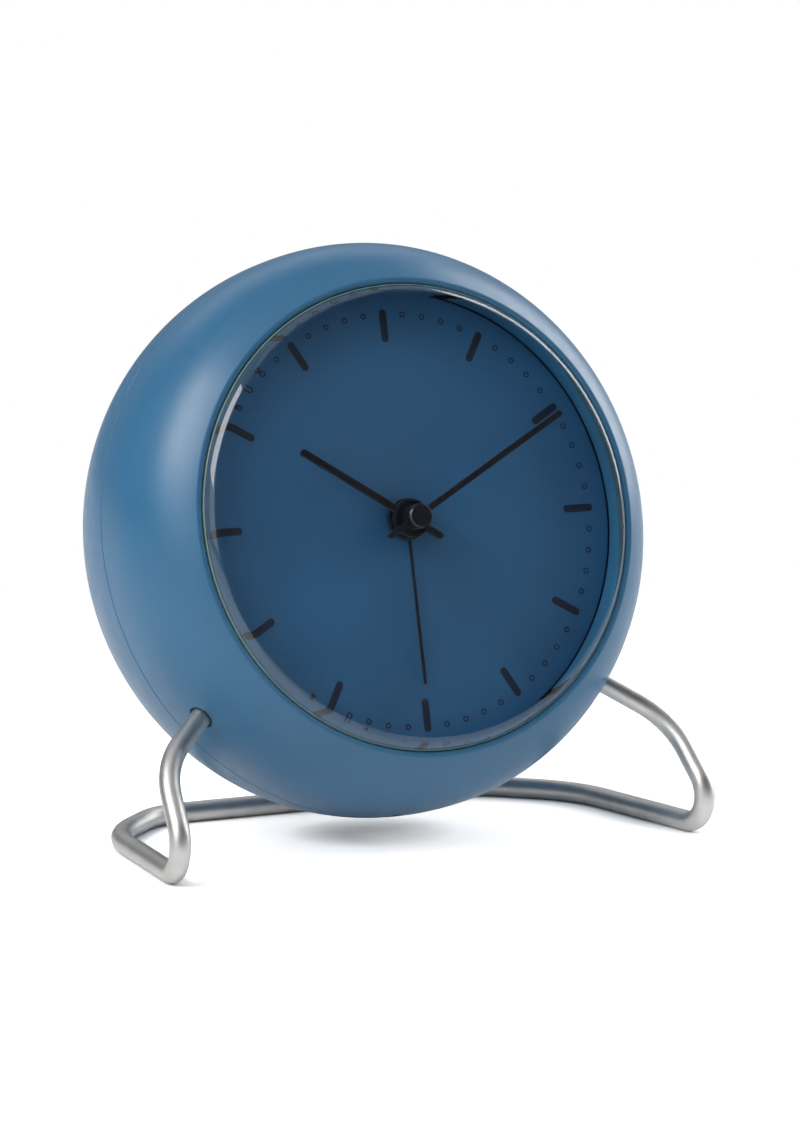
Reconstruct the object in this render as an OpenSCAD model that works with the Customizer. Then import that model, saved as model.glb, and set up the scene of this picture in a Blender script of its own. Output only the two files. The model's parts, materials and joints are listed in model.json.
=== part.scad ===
// Round table clock with an alarm, leaning back on a bent wire stand.
// Everything but the stand is drawn in the clock's own frame: the centre of the dial's face is the
// origin, X points right seen from the front, Y points to the back and Z up to twelve o'clock.
// The clock is then leaned back and lifted so that the stand's wire rests on Z = 0.

/* [Case] */
// Outside diameter of the case
case_d = 110; // [106:0.5:116]
// From the side of the case in to the side of the crystal
front_rim_w = 11; // [10.8:0.1:11.6]
// From the dial's face back to the widest section, where the two shells meet
seam_y = 16.3; // [15.5:0.1:17.5]
// Fullness of the front half's curve, where 2 is an ellipse
front_power = 2.7; // [2.6:0.05:2.9]
// Fullness of the rear half's curve, where 2 is an ellipse
back_power = 2.15; // [2.1:0.05:2.4]
// From the dial's face back to the flat rim behind
back_y = 51; // [50:0.5:52.5]
// Wall of both shells
wall = 2.5; // [2:0.1:3]
// Radius of the rolled edge round the crystal
lip_round = 0.8; // [0.5:0.1:1]
// From the crystal's flange forward to the middle of that rolled edge
lip_rise = 0.25; // [0.2:0.01:0.4]
// Radius of the edge round the flat rim behind
rim_round = 1.4; // [0.8:0.1:2]
// From the panel's hole out to the middle of the edge round the flat rim behind
back_rim_w = 2.7; // [2.2:0.1:3.2]
// Open line between the two shells
seam_gap = 0.2; // [0.1:0.05:0.3]
// Length of the rear shell's tongue in the front shell
tongue = 2; // [1.5:0.1:2.5]
// How far the clock leans back, in degrees
lean = 14; // [10:0.5:18]
// Height of the case above the table
table_gap = 3.5; // [2.5:0.1:6]

/* [Crystal and dial] */
// Thickness of the glass
glass_t = 2; // [1.6:0.1:2.2]
// Height of the dome of the glass
dome_rise = 2.1; // [1.6:0.1:2.6]
// Width of the ground bevel on the edge of the glass
bevel_w = 1.35; // [1:0.05:1.6]
// Depth of the ground bevel on the edge of the glass
bevel_h = 1.8; // [1.4:0.05:2]
// Width of the flange that holds the glass behind the case's lip
flange_w = 1.1; // [0.9:0.1:1.3]
// Thickness of the flange that holds the glass
flange_t = 1; // [0.8:0.1:1.2]
// Thickness of the gasket behind the glass
gasket_t = 0.6; // [0.4:0.1:0.8]
// From the side of the crystal in to the edge of the dial
dial_step = 0.5; // [0.3:0.1:0.9]
// Thickness of the dial
dial_t = 0.8; // [0.6:0.1:1]
// Height of the wall round the dial, from the dial's face to the gasket
reflector_h = 4; // [3.8:0.1:4.3]
// Width and height of the shadow gap between that wall and the dial
shadow_gap = 0.3; // [0.2:0.05:0.4]
// From the edge of the dial in to the middle of the minute rings
ring_gap = 4.3; // [3.5:0.1:5]
// Outside diameter of a minute ring
ring_d = 1.15; // [0.9:0.05:1.4]
// Width of the line of a minute ring
ring_line = 0.26; // [0.2:0.02:0.34]
// Length of an hour bar with its round ends
bar_l = 6.3; // [5:0.1:7]
// Width of an hour bar
bar_w = 1.46; // [1:0.02:2]
// From the edge of the dial in to the outer ends of the hour bars
bar_gap = 3.3; // [2.5:0.1:4]
// Thickness of the printed marks on the dial
print_t = 0.15; // [0.1:0.05:0.2]

/* [Hands] */
// Minute hand, from its tip out to the edge of the dial
minute_gap = 5.9; // [4.5:0.1:8]
// Width of the minute hand
minute_w = 1.2; // [1:0.05:1.6]
// Hour hand, from its tip out to the edge of the dial
hour_gap = 18; // [15:0.1:22]
// Width of the hour hand
hour_w = 1.4; // [1.1:0.05:1.8]
// Alarm hand, from its tip out to the edge of the dial
alarm_gap = 12.2; // [10:0.1:16]
// Width of the alarm hand
alarm_w = 0.55; // [0.5:0.05:1]
// Tails of the minute and hour hands, from the axis
tail_l = 7.3; // [6:0.1:9]
// Thickness of the minute and hour hands
hand_t = 0.6; // [0.4:0.05:0.7]
// Thickness of the alarm hand
alarm_t = 0.4; // [0.3:0.05:0.5]
// Time shown, hours
show_hour = 10; // [0:1:11]
// Time shown, minutes
show_minute = 10.2; // [0:0.1:59.9]
// How far the hour hand trails the exact time, in degrees
hour_lag = 1.9; // [0:0.1:3]
// Alarm time shown, hours
alarm_hour = 6; // [0:0.25:11.75]

/* [Stand] */
// Diameter of the wire
wire_d = 4; // [3.5:0.1:4.4]
// Where the wire leaves the case, in degrees from six o'clock
hole_turn = 52; // [48:0.2:56]
// Where the wire leaves the case, behind the dial's face
hole_y = 7.2; // [6.5:0.1:8.5]
// Outer bend of the leg, in from the side of the case
shoulder_in = 1.4; // [0:0.1:2.5]
// Outer bend of the leg, forward of the dial's centre
shoulder_front = 8.5; // [7.5:0.1:10]
// Outer bend of the leg, above the table
shoulder_z = 21; // [19.5:0.1:22.5]
// Front foot, out from the side of the case
foot_out = 1.3; // [0:0.1:4]
// Front foot, forward of the dial's centre
foot_front = 26.4; // [24:0.1:29]
// Rear corner, in from the side of the case
corner_in = 4.8; // [2:0.1:8]
// Rear corner, behind the dial's centre
corner_back = 22.6; // [18:0.1:27]
// End of the straight rear run, in from the side of the case
run_in = 20.4; // [16:0.1:26]
// Straight rear run, behind the dial's centre
run_back = 38.1; // [34:0.1:43]
// Bend radius at the outer bend of the leg
shoulder_bend = 18.5; // [14:0.5:20]
// Bend radius at the front foot
foot_bend = 5.7; // [4.6:0.1:6]
// Bend radius at the rear corner
corner_bend = 25; // [18:0.5:30]
// Bend radius where the rear run turns straight
run_bend = 15; // [10:0.5:20]
// Length of wire inside the case
wire_in = 11; // [9:0.5:12]

/* [Back panel] */
// Depth of the panel below the flat rim
panel_recess = 3.2; // [3:0.1:3.6]
// Thickness of the panel
panel_t = 2; // [1.6:0.1:2.4]
// Gap from the battery bay out to the shell's ledge
bay_gap = 0.92; // [0.8:0.02:1.4]
// Width of the shell's ledge that carries the panel
ledge_w = 3.2; // [2.8:0.1:3.4]
// Thickness of the ledge
ledge_t = 2; // [1.6:0.1:2.4]
// Radius of the two setting knobs
knob_r = 6.5; // [5.5:0.1:7]
// Height of the two setting knobs
knob_h = 2.7; // [2.2:0.1:2.8]
// Grooves round a setting knob
knob_grooves = 24; // [16:1:28]
// Direction of the setting knobs, in degrees either side of twelve
knob_turn = 37.4; // [35:0.1:40]
// Alarm switch, below the middle
switch_z = 17; // [15:0.1:20]
// Travel of the alarm switch
switch_travel = 4; // [3:0.5:5]

/* [Movement] */
// Room from the movement's corners to the case's wall, for the stand's sockets and the screws
movement_room = 15.39; // [14:0.01:17]
// Wall of the movement's housing
movement_wall = 1.5; // [1.2:0.1:1.8]
// Radius of the corners of the movement's housing
movement_round = 6; // [5:0.5:8]
// Depth of the movement's housing behind its front plate
movement_h = 13.5; // [13:0.5:16]
// Gap from the gears to the movement's wall
train_gap = 2.28; // [1.5:0.02:3]
// Bend of the setting train at its wheel, in degrees off a straight line each way
train_fold = 26.9; // [20:0.1:32]
// Radius of the centre arbor
arbor_r = 0.9; // [0.8:0.05:1]
// Wall of the pipes round the arbor
pipe_wall = 0.55; // [0.45:0.05:0.6]
// Radius of the setting stems
stem_r = 1.5; // [1.2:0.05:1.6]
// Radial clearance of what turns
run_fit = 0.05; // [0.03:0.01:0.08]
// Gap beside what slides or is laid in
loose_fit = 0.2; // [0.15:0.05:0.25]

/* [Hidden] */
$fn = 96;
// Steps along one half of the case's outline
outline_steps = 26;
// Overrun of every cut
over = 1;
case_r = case_d / 2;

// Crystal, gasket and reflector ring, from the dial's face forward
gasket_y = -reflector_h;
flange_y = gasket_y - gasket_t;
lip_back_y = flange_y - flange_t;
crystal_r = case_r - front_rim_w;
crystal_gap = 0.15;
opening_r = crystal_r + crystal_gap;
flange_r = crystal_r + flange_w;
seat_r = flange_r + loose_fit;
bevel_r = crystal_r - bevel_w;
bevel_y = lip_back_y - flange_t;
crown_y = bevel_y - bevel_h;
crystal_steps = 12;
// Steps round a small rolled edge
edge_steps = 8;

// Marks and hands, from the edge of the dial in
dial_r = crystal_r - dial_step;
ring_track_r = dial_r - ring_gap;
bar_end_r = dial_r - bar_gap;
minute_l = dial_r - minute_gap;
hour_l = dial_r - hour_gap;
alarm_l = dial_r - alarm_gap;

// Movement's square with rounded corners, inside the case's screws and the stand's sockets
movement_w = sqrt(2) * (case_r - wall - movement_room - movement_round) + 2 * movement_round;

// Gear train: teeth, then places in modules, the module that fits the movement, and phases
pinion_n = 10;
minute_n = 30;
leaf_n = 8;
hour_n = 32;
set_n = 10;
alarm_set_n = 10;
idler_n = 24;
alarm_n = 36;
centre = [0, 0];
function mesh_reach(a, b) = (a + b) / 2;
function meet(a, b, ra, rb, side) =
    let (d = norm(b - a), u = (b - a) / d, along = (ra * ra - rb * rb + d * d) / (2 * d))
    a + u * along + [-u[1], u[0]] * side * sqrt(ra * ra - along * along);
knob_modules = 2 * mesh_reach(pinion_n, minute_n) * cos(train_fold);
time_modules = knob_modules * [-sin(knob_turn), cos(knob_turn)];
alarm_modules = knob_modules * [sin(knob_turn), cos(knob_turn)];
minute_modules =
    meet(centre, time_modules, mesh_reach(pinion_n, minute_n), mesh_reach(set_n, minute_n), 1);
idler_modules =
    meet(centre, alarm_modules, mesh_reach(alarm_n, idler_n), mesh_reach(alarm_set_n, idler_n), -1);
gear_m = (movement_w / 2 - movement_wall - train_gap) / (idler_modules[0] + idler_n / 2 + 1);
time_at = time_modules * gear_m;
alarm_at = alarm_modules * gear_m;
minute_at = minute_modules * gear_m;
idler_at = idler_modules * gear_m;
function gear_r(n) = n * gear_m / 2;
function heading(a, b) = atan2(b[1] - a[1], b[0] - a[0]);
function mesh_turn(turn, n, to_n, way) = way + 180 - n / to_n * (turn - way) - 180 / to_n;
minute_turn = mesh_turn(0, pinion_n, minute_n, heading(centre, minute_at));
set_turn = mesh_turn(minute_turn, minute_n, set_n, heading(minute_at, time_at));
hour_turn = mesh_turn(0, leaf_n, hour_n, heading(minute_at, centre));
idler_turn = mesh_turn(0, alarm_n, idler_n, heading(centre, idler_at));
alarm_set_turn = mesh_turn(idler_turn, idler_n, alarm_set_n, heading(idler_at, alarm_at));

// Battery bay, and the panel round it and the knobs
cell_d = 14.5;
cell_l = 49.2;
nub_d = 5.5;
nub_l = 1.1;
contact_t = 0.4;
spring_h = 1.4;
bay_wall = 1.2;
bay_l = cell_l + nub_l + 2 * contact_t + spring_h + loose_fit;
bay_w = cell_d + 2 * loose_fit;
bay_h = cell_d + 2 * loose_fit;
bay_reach = norm([bay_l / 2 + bay_wall, bay_w / 2 + bay_wall]);
knob_margin = 1;
panel_r = max(bay_reach + bay_gap + ledge_w, knob_modules * gear_m + knob_r + knob_margin);
panel_back = back_y - panel_recess;
panel_front = panel_back - panel_t;
ledge_r = panel_r - ledge_w;
panel_hole_r = panel_r + loose_fit / 2;
bay_floor = panel_front - bay_h;
door_rim = 0.8;
door_t = panel_t - door_rim;
door_l = bay_l + 2 * door_rim;
door_w = bay_w + 2 * door_rim;
door_round = 2;
cell_x = (spring_h - nub_l) / 2;
cell_y = panel_front - cell_d / 2 - loose_fit;
knob_y = panel_back + loose_fit;

// Reach of each half of the case's outline from the seam, up to where it would close
rim_r = panel_hole_r + back_rim_w;
front_len = lip_round
    + (seam_y - lip_back_y + lip_rise) / fullness(opening_r + lip_round, lip_round, front_power);
back_len = rim_round + (back_y - rim_round - seam_y) / fullness(rim_r, rim_round, back_power);

// Dial carrier behind the dial and the land of the front shell that it is screwed to
carrier_t = 2;
carrier_y = dial_t;
carrier_gap = 0.45;
carrier_r = egg_r(carrier_y, wall) - carrier_gap;
land_y = dial_t - loose_fit;
carrier_screw_r = (seat_r + carrier_r) / 2;
carrier_screw_turns = [45, 135, 225, 315];
small_shank_r = 0.8;
small_head_r = 1.4;
small_head_t = 0.9;
carrier_screw_l = 3;
panel_screw_r = ledge_r + small_head_r;
panel_screw_turns = [90, 205, 335];

// Movement planes, from the carrier back
base_y = carrier_y + carrier_t;
cover_y = base_y + movement_wall;
cover_back = cover_y + movement_h;
gear_t = 1.2;
layer_gap = 0.6;
alarm_layer = cover_y + layer_gap;
hour_layer = alarm_layer + gear_t + layer_gap;
minute_layer = hour_layer + gear_t + layer_gap;

// Radii of the pipes, from the arbor out
hour_in = arbor_r + run_fit;
hour_out = hour_in + pipe_wall;
alarm_in = hour_out + run_fit;
alarm_out = alarm_in + pipe_wall;
bush_in = alarm_out + run_fit;
bush_out = bush_in + pipe_wall + loose_fit;

// Hand planes, from the dial's face forward
alarm_hub_r = 4;
alarm_hub_back = 0.5;
alarm_hub_t = 1;
hour_hub_r = 3.7;
hub_gap = 0.4;
hour_hub_t = 1.5;
minute_hub_r = 2.35;
minute_hub_t = 2.1;
cap_r = 2.4;
cap_t = 1.3;
cap_round = 0.35;
alarm_hub_y = -alarm_hub_back - alarm_hub_t;
hour_hub_y = alarm_hub_y - hub_gap - hour_hub_t;
minute_hub_y = hour_hub_y - hub_gap - minute_hub_t;
cap_y = minute_hub_y - cap_t;

// Case screws in wells of the rear shell
case_screw_in = 7;
case_screw_r = case_r - case_screw_in;
case_screw_turns = [50, 155, 205, 310];
boss_r = 3.6;
boss_gap = 2.2;
boss_y = base_y + boss_gap;
screw_floor_back = 3.7;
screw_floor_y = seam_y + screw_floor_back;
screw_floor_t = 2;
case_shank_r = 1.2;
case_head_r = 2.2;
case_head_t = 1.6;
case_screw_l = 12;
well_r = case_head_r + 2 * loose_fit;

// Sound slots across the seam under the case, and the buzzer above them
slot_pitch = 4;
slot_w = 1.6;
slot_front = 4.9;
slot_rear = 10.7;
slot_from = seam_y - slot_front;
slot_to = seam_y + slot_rear;
slot_x = 6;
slot_count = 5;
buzzer_r = 8;
buzzer_t = 3.4;
buzzer_back = 11.7;
buzzer_y = seam_y + buzzer_back;
buzzer_in = 8;
buzzer_z = case_r - buzzer_in;
buzzer_wall = 1.2;
buzzer_shelf = 1;

// Stand, with heights above the table and places from the dial's centre
wire_r = wire_d / 2;
socket_gap = 0.08;
socket_wall = 2.4;
mouth_gap = 0.45;
mouth_depth = 1.2;
seat_gap = 0.3;
hole_r = egg_r(hole_y, 0);
lean_power = back_power / (back_power - 1);
case_low = seam_y * sin(lean)
    + pow(pow(case_r * cos(lean), lean_power) + pow(back_len * sin(lean), lean_power), 1 / lean_power);
dial_z = table_gap + case_low;
hole_p = leaned([hole_r * sin(hole_turn), hole_y, -hole_r * cos(hole_turn)]);
shoulder_p = [case_r - shoulder_in, -shoulder_front, shoulder_z - dial_z];
foot_p = [case_r + foot_out, -foot_front, wire_r - dial_z];
corner_p = [case_r - corner_in, corner_back, wire_r - dial_z];
run_p = [case_r - run_in, run_back, wire_r - dial_z];
wire_way = unit(hole_p - shoulder_p);
wire_end = hole_p + wire_way * wire_in;

// The dial's centre lies this far in front of the middle between the front foot and the case's back
foot_normal = unit(cross(shoulder_p - foot_p, corner_p - foot_p));
foot_centre = bend_centre(shoulder_p, foot_p, corner_p, foot_bend);
front_reach = foot_bend * sqrt(1 - foot_normal[1] * foot_normal[1]) + wire_r - foot_centre[1];
back_reach = (back_y - rim_round) * cos(lean) + rim_r * sin(lean) + rim_round;
dial_y = (front_reach - back_reach) / 2;

// Share of the reach that the case's outline keeps at a radius, inset by a wall
function fullness(r, inset, power) = pow(1 - pow(r / (case_r - inset), power), 1 / power);
// Radius of the case at a depth, inset by a wall
function egg_r(y, inset) =
    let (len = y < seam_y ? front_len : back_len, power = y < seam_y ? front_power : back_power)
    (case_r - inset) * pow(1 - pow(abs(y - seam_y) / (len - inset), power), 1 / power);
// Points along one half of the outline, from the seam to the radius at the far end
function egg_points(way, len, power, inset, end_r) =
    let (r = case_r - inset, end = acos(pow(end_r / r, power / 2)))
    [for (i = [0:outline_steps])
        let (a = end * i / outline_steps)
        [r * pow(cos(a), 2 / power), seam_y + way * (len - inset) * pow(sin(a), 2 / power)]];
// Heading of the outline's outward normal, in degrees
function egg_normal(r, y) =
    let (len = y < seam_y ? front_len : back_len, power = y < seam_y ? front_power : back_power)
    let (nr = pow(r / case_r, power - 1) / case_r, ny = pow(abs(y - seam_y) / len, power - 1) / len)
    atan2(y < seam_y ? -ny : ny, nr);
function front_y(r, inset) = seam_y - (front_len - inset) * fullness(r, inset, front_power);
function egg_end_y(r, inset) = seam_y + (back_len - inset) * fullness(r, inset, back_power);
function arc(at, r, from, to, steps) =
    [for (i = [0:steps]) let (a = from + (to - from) * i / steps) at + r * [cos(a), sin(a)]];
function reversed(list) = [for (i = [len(list) - 1:-1:0]) list[i]];
function unit(v) = v / norm(v);
function leaned(p) =
    [p[0], p[1] * cos(lean) + p[2] * sin(lean), p[2] * cos(lean) - p[1] * sin(lean)];
// Half the angle between the two wires that meet in a bend
function bend_half(a, b, c) = acos(unit(a - b) * unit(c - b)) / 2;
function bend_centre(a, b, c, r) = b + unit(unit(a - b) + unit(c - b)) * r / sin(bend_half(a, b, c));
function around(r, turn) = r * [sin(turn), cos(turn)];

// Frame helpers: outlines are drawn as seen from the front, with their second value up
module clock()
    translate([0, dial_y, dial_z]) rotate([-lean, 0, 0]) children();
module slab(y0, y1)
    translate([0, y1, 0]) rotate([90, 0, 0]) linear_extrude(y1 - y0) children();
module turned()
    rotate([-90, 0, 0]) rotate_extrude() children();
module post(at, r, y0, y1)
    translate([at[0], y0, at[1]]) rotate([-90, 0, 0]) cylinder(r = r, h = y1 - y0);
module cone(at, r0, r1, y0, y1)
    translate([at[0], y0, at[1]]) rotate([-90, 0, 0]) cylinder(r1 = r0, r2 = r1, h = y1 - y0);
module round_rect(w, h, r) {
    square([w - 2 * r, h], center = true);
    square([w, h - 2 * r], center = true);
    for (x = [-1, 1], z = [-1, 1])
        translate([x * (w / 2 - r), z * (h / 2 - r)]) circle(r = r);
}
// A bar with round ends along the second axis
module round_bar(w, from, to) {
    translate([-w / 2, from + w / 2]) square([w, to - from - w]);
    for (v = [from + w / 2, to - w / 2])
        translate([0, v]) circle(d = w);
}

// Case
module front_shell_form() {
    lip_y = front_y(opening_r + lip_round, lip_round);
    lip_at = [opening_r + lip_round, lip_y];
    lip_normal = egg_normal(opening_r + lip_round, lip_y);
    lip_start = lip_at + lip_round * [cos(lip_normal), sin(lip_normal)];
    tongue_r = case_r - wall / 2;
    turned() polygon(concat(
        egg_points(-1, front_len, front_power, 0, lip_start[0]),
        arc(lip_at, lip_round, lip_normal, -180, edge_steps),
        [[opening_r, lip_back_y], [seat_r, lip_back_y], [seat_r, land_y],
            [egg_r(land_y, wall), land_y]],
        reversed(front_inside()),
        [[tongue_r, seam_y - tongue], [tongue_r, seam_y]]
    ));
}
function front_inside() = [
    for (p = egg_points(-1, front_len, front_power, wall, egg_r(land_y, wall)))
        if (p[1] < seam_y - tongue && p[1] > land_y) p
];
module front_shell() {
    color("steelblue") clock() difference() {
        union() {
            front_shell_form();
            intersection() {
                union() {
                    for (turn = case_screw_turns)
                        post(around(case_screw_r, turn), boss_r, boss_y, screw_floor_y - loose_fit);
                    for (side = [-1, 1])
                        socket(side, wire_r + socket_wall, wire_in + seat_gap + socket_wall, wall);
                }
                egg_solid(wall / 2);
            }
        }
        for (turn = case_screw_turns)
            post(around(case_screw_r, turn), case_shank_r - run_fit,
                screw_floor_y + screw_floor_t - case_screw_l - loose_fit, screw_floor_y);
        for (turn = carrier_screw_turns)
            post(around(carrier_screw_r, turn), small_shank_r + run_fit,
                carrier_y + carrier_t - carrier_screw_l - small_head_t, land_y + over);
        for (side = [-1, 1]) {
            socket(side, wire_r + socket_gap, wire_in + seat_gap, wall);
            socket(side, wire_r + mouth_gap, mouth_depth, wall);
        }
        sound_slots();
    }
}
// Solid of the case's outer form, inset
module egg_solid(inset)
    turned() polygon(concat(
        [[0, front_y(opening_r, inset)]],
        reversed(egg_points(-1, front_len, front_power, inset, opening_r)),
        [for (p = egg_points(1, back_len, back_power, inset, rim_r)) if (p[1] > seam_y) p],
        [[0, egg_end_y(rim_r, inset)]]
    ));
// A cylinder along the wire's end, from outside the case inward, in the clock's frame
module socket(side, r, depth, start) {
    way = unleaned(wire_way);
    at = unleaned(hole_p);
    mirrored = [side, 1, 1];
    translate([for (i = [0:2]) (at[i] - way[i] * start) * mirrored[i]])
        aim([for (i = [0:2]) way[i] * mirrored[i]]) cylinder(r = r, h = depth + start);
}
function unleaned(p) =
    [p[0], p[1] * cos(lean) - p[2] * sin(lean), p[1] * sin(lean) + p[2] * cos(lean)];
// Turns the upright axis to a heading
module aim(v)
    rotate([0, 0, atan2(v[1], v[0])]) rotate([0, acos(v[2] / norm(v)), 0]) children();
module sound_slots()
    for (i = [0:slot_count - 1])
        translate([slot_x + (i - (slot_count - 1) / 2) * slot_pitch, 0, 0]) {
            translate([-slot_w / 2, slot_from + slot_w / 2, -case_r - over])
                cube([slot_w, slot_to - slot_from - slot_w, 2 * wall + over]);
            for (y = [slot_from + slot_w / 2, slot_to - slot_w / 2])
                translate([0, y, -case_r - over]) cylinder(d = slot_w, h = 2 * wall + over);
        }

module rear_shell_form() {
    rim_at = [rim_r, back_y - rim_round];
    rim_normal = egg_normal(rim_r, back_y - rim_round);
    rim_start = rim_at + rim_round * [cos(rim_normal), sin(rim_normal)];
    tongue_r = case_r - wall / 2 - loose_fit / 2;
    ledge_front = panel_front - ledge_t;
    turned() polygon(concat(
        [for (p = egg_points(1, back_len, back_power, 0, rim_start[0]))
            [p[0], max(p[1], seam_y + seam_gap)]],
        arc(rim_at, rim_round, rim_normal, 90, edge_steps),
        [[panel_hole_r, back_y], [panel_hole_r, panel_front], [ledge_r, panel_front],
            [ledge_r, ledge_front], [egg_r(ledge_front, wall), ledge_front]],
        [for (p = reversed(egg_points(1, back_len, back_power, wall, egg_r(ledge_front, wall))))
            if (p[1] > seam_y + seam_gap && p[1] < ledge_front) p],
        [[case_r - wall, seam_y - tongue + loose_fit], [tongue_r, seam_y - tongue + loose_fit],
            [tongue_r, seam_y + seam_gap]]
    ));
}
module rear_shell() {
    color("steelblue") clock() difference() {
        union() {
            rear_shell_form();
            intersection() {
                union() {
                    for (turn = case_screw_turns)
                        post(around(case_screw_r, turn), boss_r + loose_fit, screw_floor_y, back_y);
                    translate([slot_x, buzzer_y, -case_r])
                        cylinder(r = buzzer_r + buzzer_wall, h = case_r - buzzer_z + buzzer_t);
                }
                egg_solid(wall / 2);
            }
        }
        for (turn = case_screw_turns) {
            post(around(case_screw_r, turn), well_r, screw_floor_y + screw_floor_t, back_y);
            post(around(case_screw_r, turn), case_shank_r + loose_fit, screw_floor_y - over, back_y);
        }
        for (turn = panel_screw_turns)
            post(around(panel_screw_r, turn), small_shank_r + run_fit,
                panel_front - ledge_t - over, panel_front + over);
        translate([slot_x, buzzer_y, -buzzer_z])
            cylinder(r = buzzer_r + run_fit, h = buzzer_t + over);
        translate([slot_x, buzzer_y, -buzzer_z - buzzer_wall])
            cylinder(r = buzzer_r - buzzer_shelf, h = buzzer_t + over);
        sound_slots();
    }
}

// Crystal and dial
module crystal() {
    dome_r = (bevel_r * bevel_r + dome_rise * dome_rise) / (2 * dome_rise);
    dome_end = asin(bevel_r / dome_r);
    inner_r = dial_r - loose_fit;
    inner_rise = dome_rise * inner_r * inner_r / bevel_r / bevel_r;
    inner_dome_r = (inner_r * inner_r + inner_rise * inner_rise) / (2 * inner_rise);
    inner_end = asin(inner_r / inner_dome_r);
    inner_y = crown_y + glass_t - dome_rise + inner_rise;
    color("lightcyan", 0.3) clock() turned() polygon(concat(
        arc([0, crown_y - dome_rise + dome_r], dome_r, -90, -90 + dome_end, crystal_steps),
        [[crystal_r, bevel_y], [crystal_r, lip_back_y], [flange_r, lip_back_y], [flange_r, flange_y],
            [inner_r, flange_y]],
        arc([0, inner_y - inner_rise + inner_dome_r], inner_dome_r, -90 + inner_end, -90,
            crystal_steps)
    ));
}
module crystal_gasket()
    color("darkslategray") clock() turned()
        translate([dial_r, flange_y]) square([flange_r - dial_r, gasket_t]);
module reflector_ring()
    color("steelblue") clock() turned() difference() {
        translate([dial_r, gasket_y]) square([flange_r - dial_r, reflector_h]);
        translate([dial_r - over, -shadow_gap]) square([shadow_gap + over, shadow_gap + over]);
    }
module dial()
    color("#2e5680") clock() difference() {
        slab(0, dial_t) circle(r = flange_r);
        post(centre, bush_out + run_fit, -over, dial_t + over);
    }
module hour_bars()
    color("black") clock() slab(-print_t, 0)
        for (i = [0:11]) rotate(i * 30) round_bar(bar_w, bar_end_r - bar_l, bar_end_r);
module minute_rings()
    color("black") clock() slab(-print_t, 0)
        for (i = [0:59]) if (i % 5 != 0)
            rotate(i * 6) translate([0, ring_track_r]) difference() {
                circle(d = ring_d, $fn = 32);
                circle(d = ring_d - 2 * ring_line, $fn = 32);
            }

// Hands
minute_heading = -show_minute * 6;
hour_heading = hour_lag - show_hour * 30 - show_minute / 2;
alarm_heading = -alarm_hour * 30;
module minute_hand()
    color("black") clock() difference() {
        union() {
            slab(minute_hub_y, minute_hub_y + minute_hub_t) circle(r = minute_hub_r);
            slab(minute_hub_y + hand_t / 2, minute_hub_y + hand_t * 3 / 2)
                rotate(minute_heading) round_bar(minute_w, -tail_l, minute_l);
        }
        post(centre, arbor_r + run_fit, minute_hub_y - over, minute_hub_y + minute_hub_t + over);
    }
module hour_hand()
    color("black") clock() difference() {
        union() {
            slab(hour_hub_y, hour_hub_y + hour_hub_t) circle(r = hour_hub_r);
            slab(hour_hub_y + hand_t / 2, hour_hub_y + hand_t * 3 / 2)
                rotate(hour_heading) round_bar(hour_w, -tail_l, hour_l);
        }
        post(centre, hour_out + run_fit, hour_hub_y - over, hour_hub_y + hour_hub_t + over);
        post(centre, hour_hub_r - hub_gap, hour_hub_y - over, hour_hub_y + hub_gap);
    }
module alarm_hand()
    color("black") clock() difference() {
        union() {
            slab(alarm_hub_y, alarm_hub_y + alarm_hub_t) circle(r = alarm_hub_r);
            slab(alarm_hub_y + alarm_t / 2, alarm_hub_y + alarm_t * 3 / 2)
                rotate(alarm_heading) round_bar(alarm_w, 0, alarm_l);
        }
        post(centre, alarm_out + run_fit, alarm_hub_y - over, alarm_hub_y + alarm_hub_t + over);
    }
module hand_cap()
    color("black") clock() {
        cone(centre, cap_r - cap_round, cap_r, cap_y, cap_y + cap_round);
        post(centre, cap_r, cap_y + cap_round, minute_hub_y);
    }

// Dial carrier and the movement's housing
module dial_carrier()
    color("dimgray") clock() difference() {
        slab(carrier_y, carrier_y + carrier_t) circle(r = carrier_r);
        post(centre, bush_out + run_fit, carrier_y - over, carrier_y + carrier_t + over);
        for (turn = carrier_screw_turns)
            post(around(carrier_screw_r, turn), small_shank_r + run_fit,
                carrier_y - over, carrier_y + carrier_t + over);
        for (at = movement_screw_places) {
            post(at, small_shank_r + run_fit, carrier_y - over, carrier_y + carrier_t + over);
            post(at, small_head_r + run_fit, carrier_y - over, carrier_y + small_head_t);
        }
    }
module screw(at, shank_r, head_r, head_t, head_y, way, l) {
    // The head's outer face is at head_y and the shank runs on along Y, forward where way is -1
    y1 = head_y + way * head_t;
    y2 = y1 + way * l;
    post(at, head_r, min(head_y, y1), max(head_y, y1));
    post(at, shank_r, min(y1, y2), max(y1, y2));
}
module carrier_screws()
    color("silver") clock()
        for (turn = carrier_screw_turns)
            slotted(around(carrier_screw_r, turn), base_y + small_head_t, small_head_r, small_head_t)
                screw(around(carrier_screw_r, turn), small_shank_r, small_head_r, small_head_t,
                    base_y + small_head_t, -1, carrier_screw_l + small_head_t);
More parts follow.
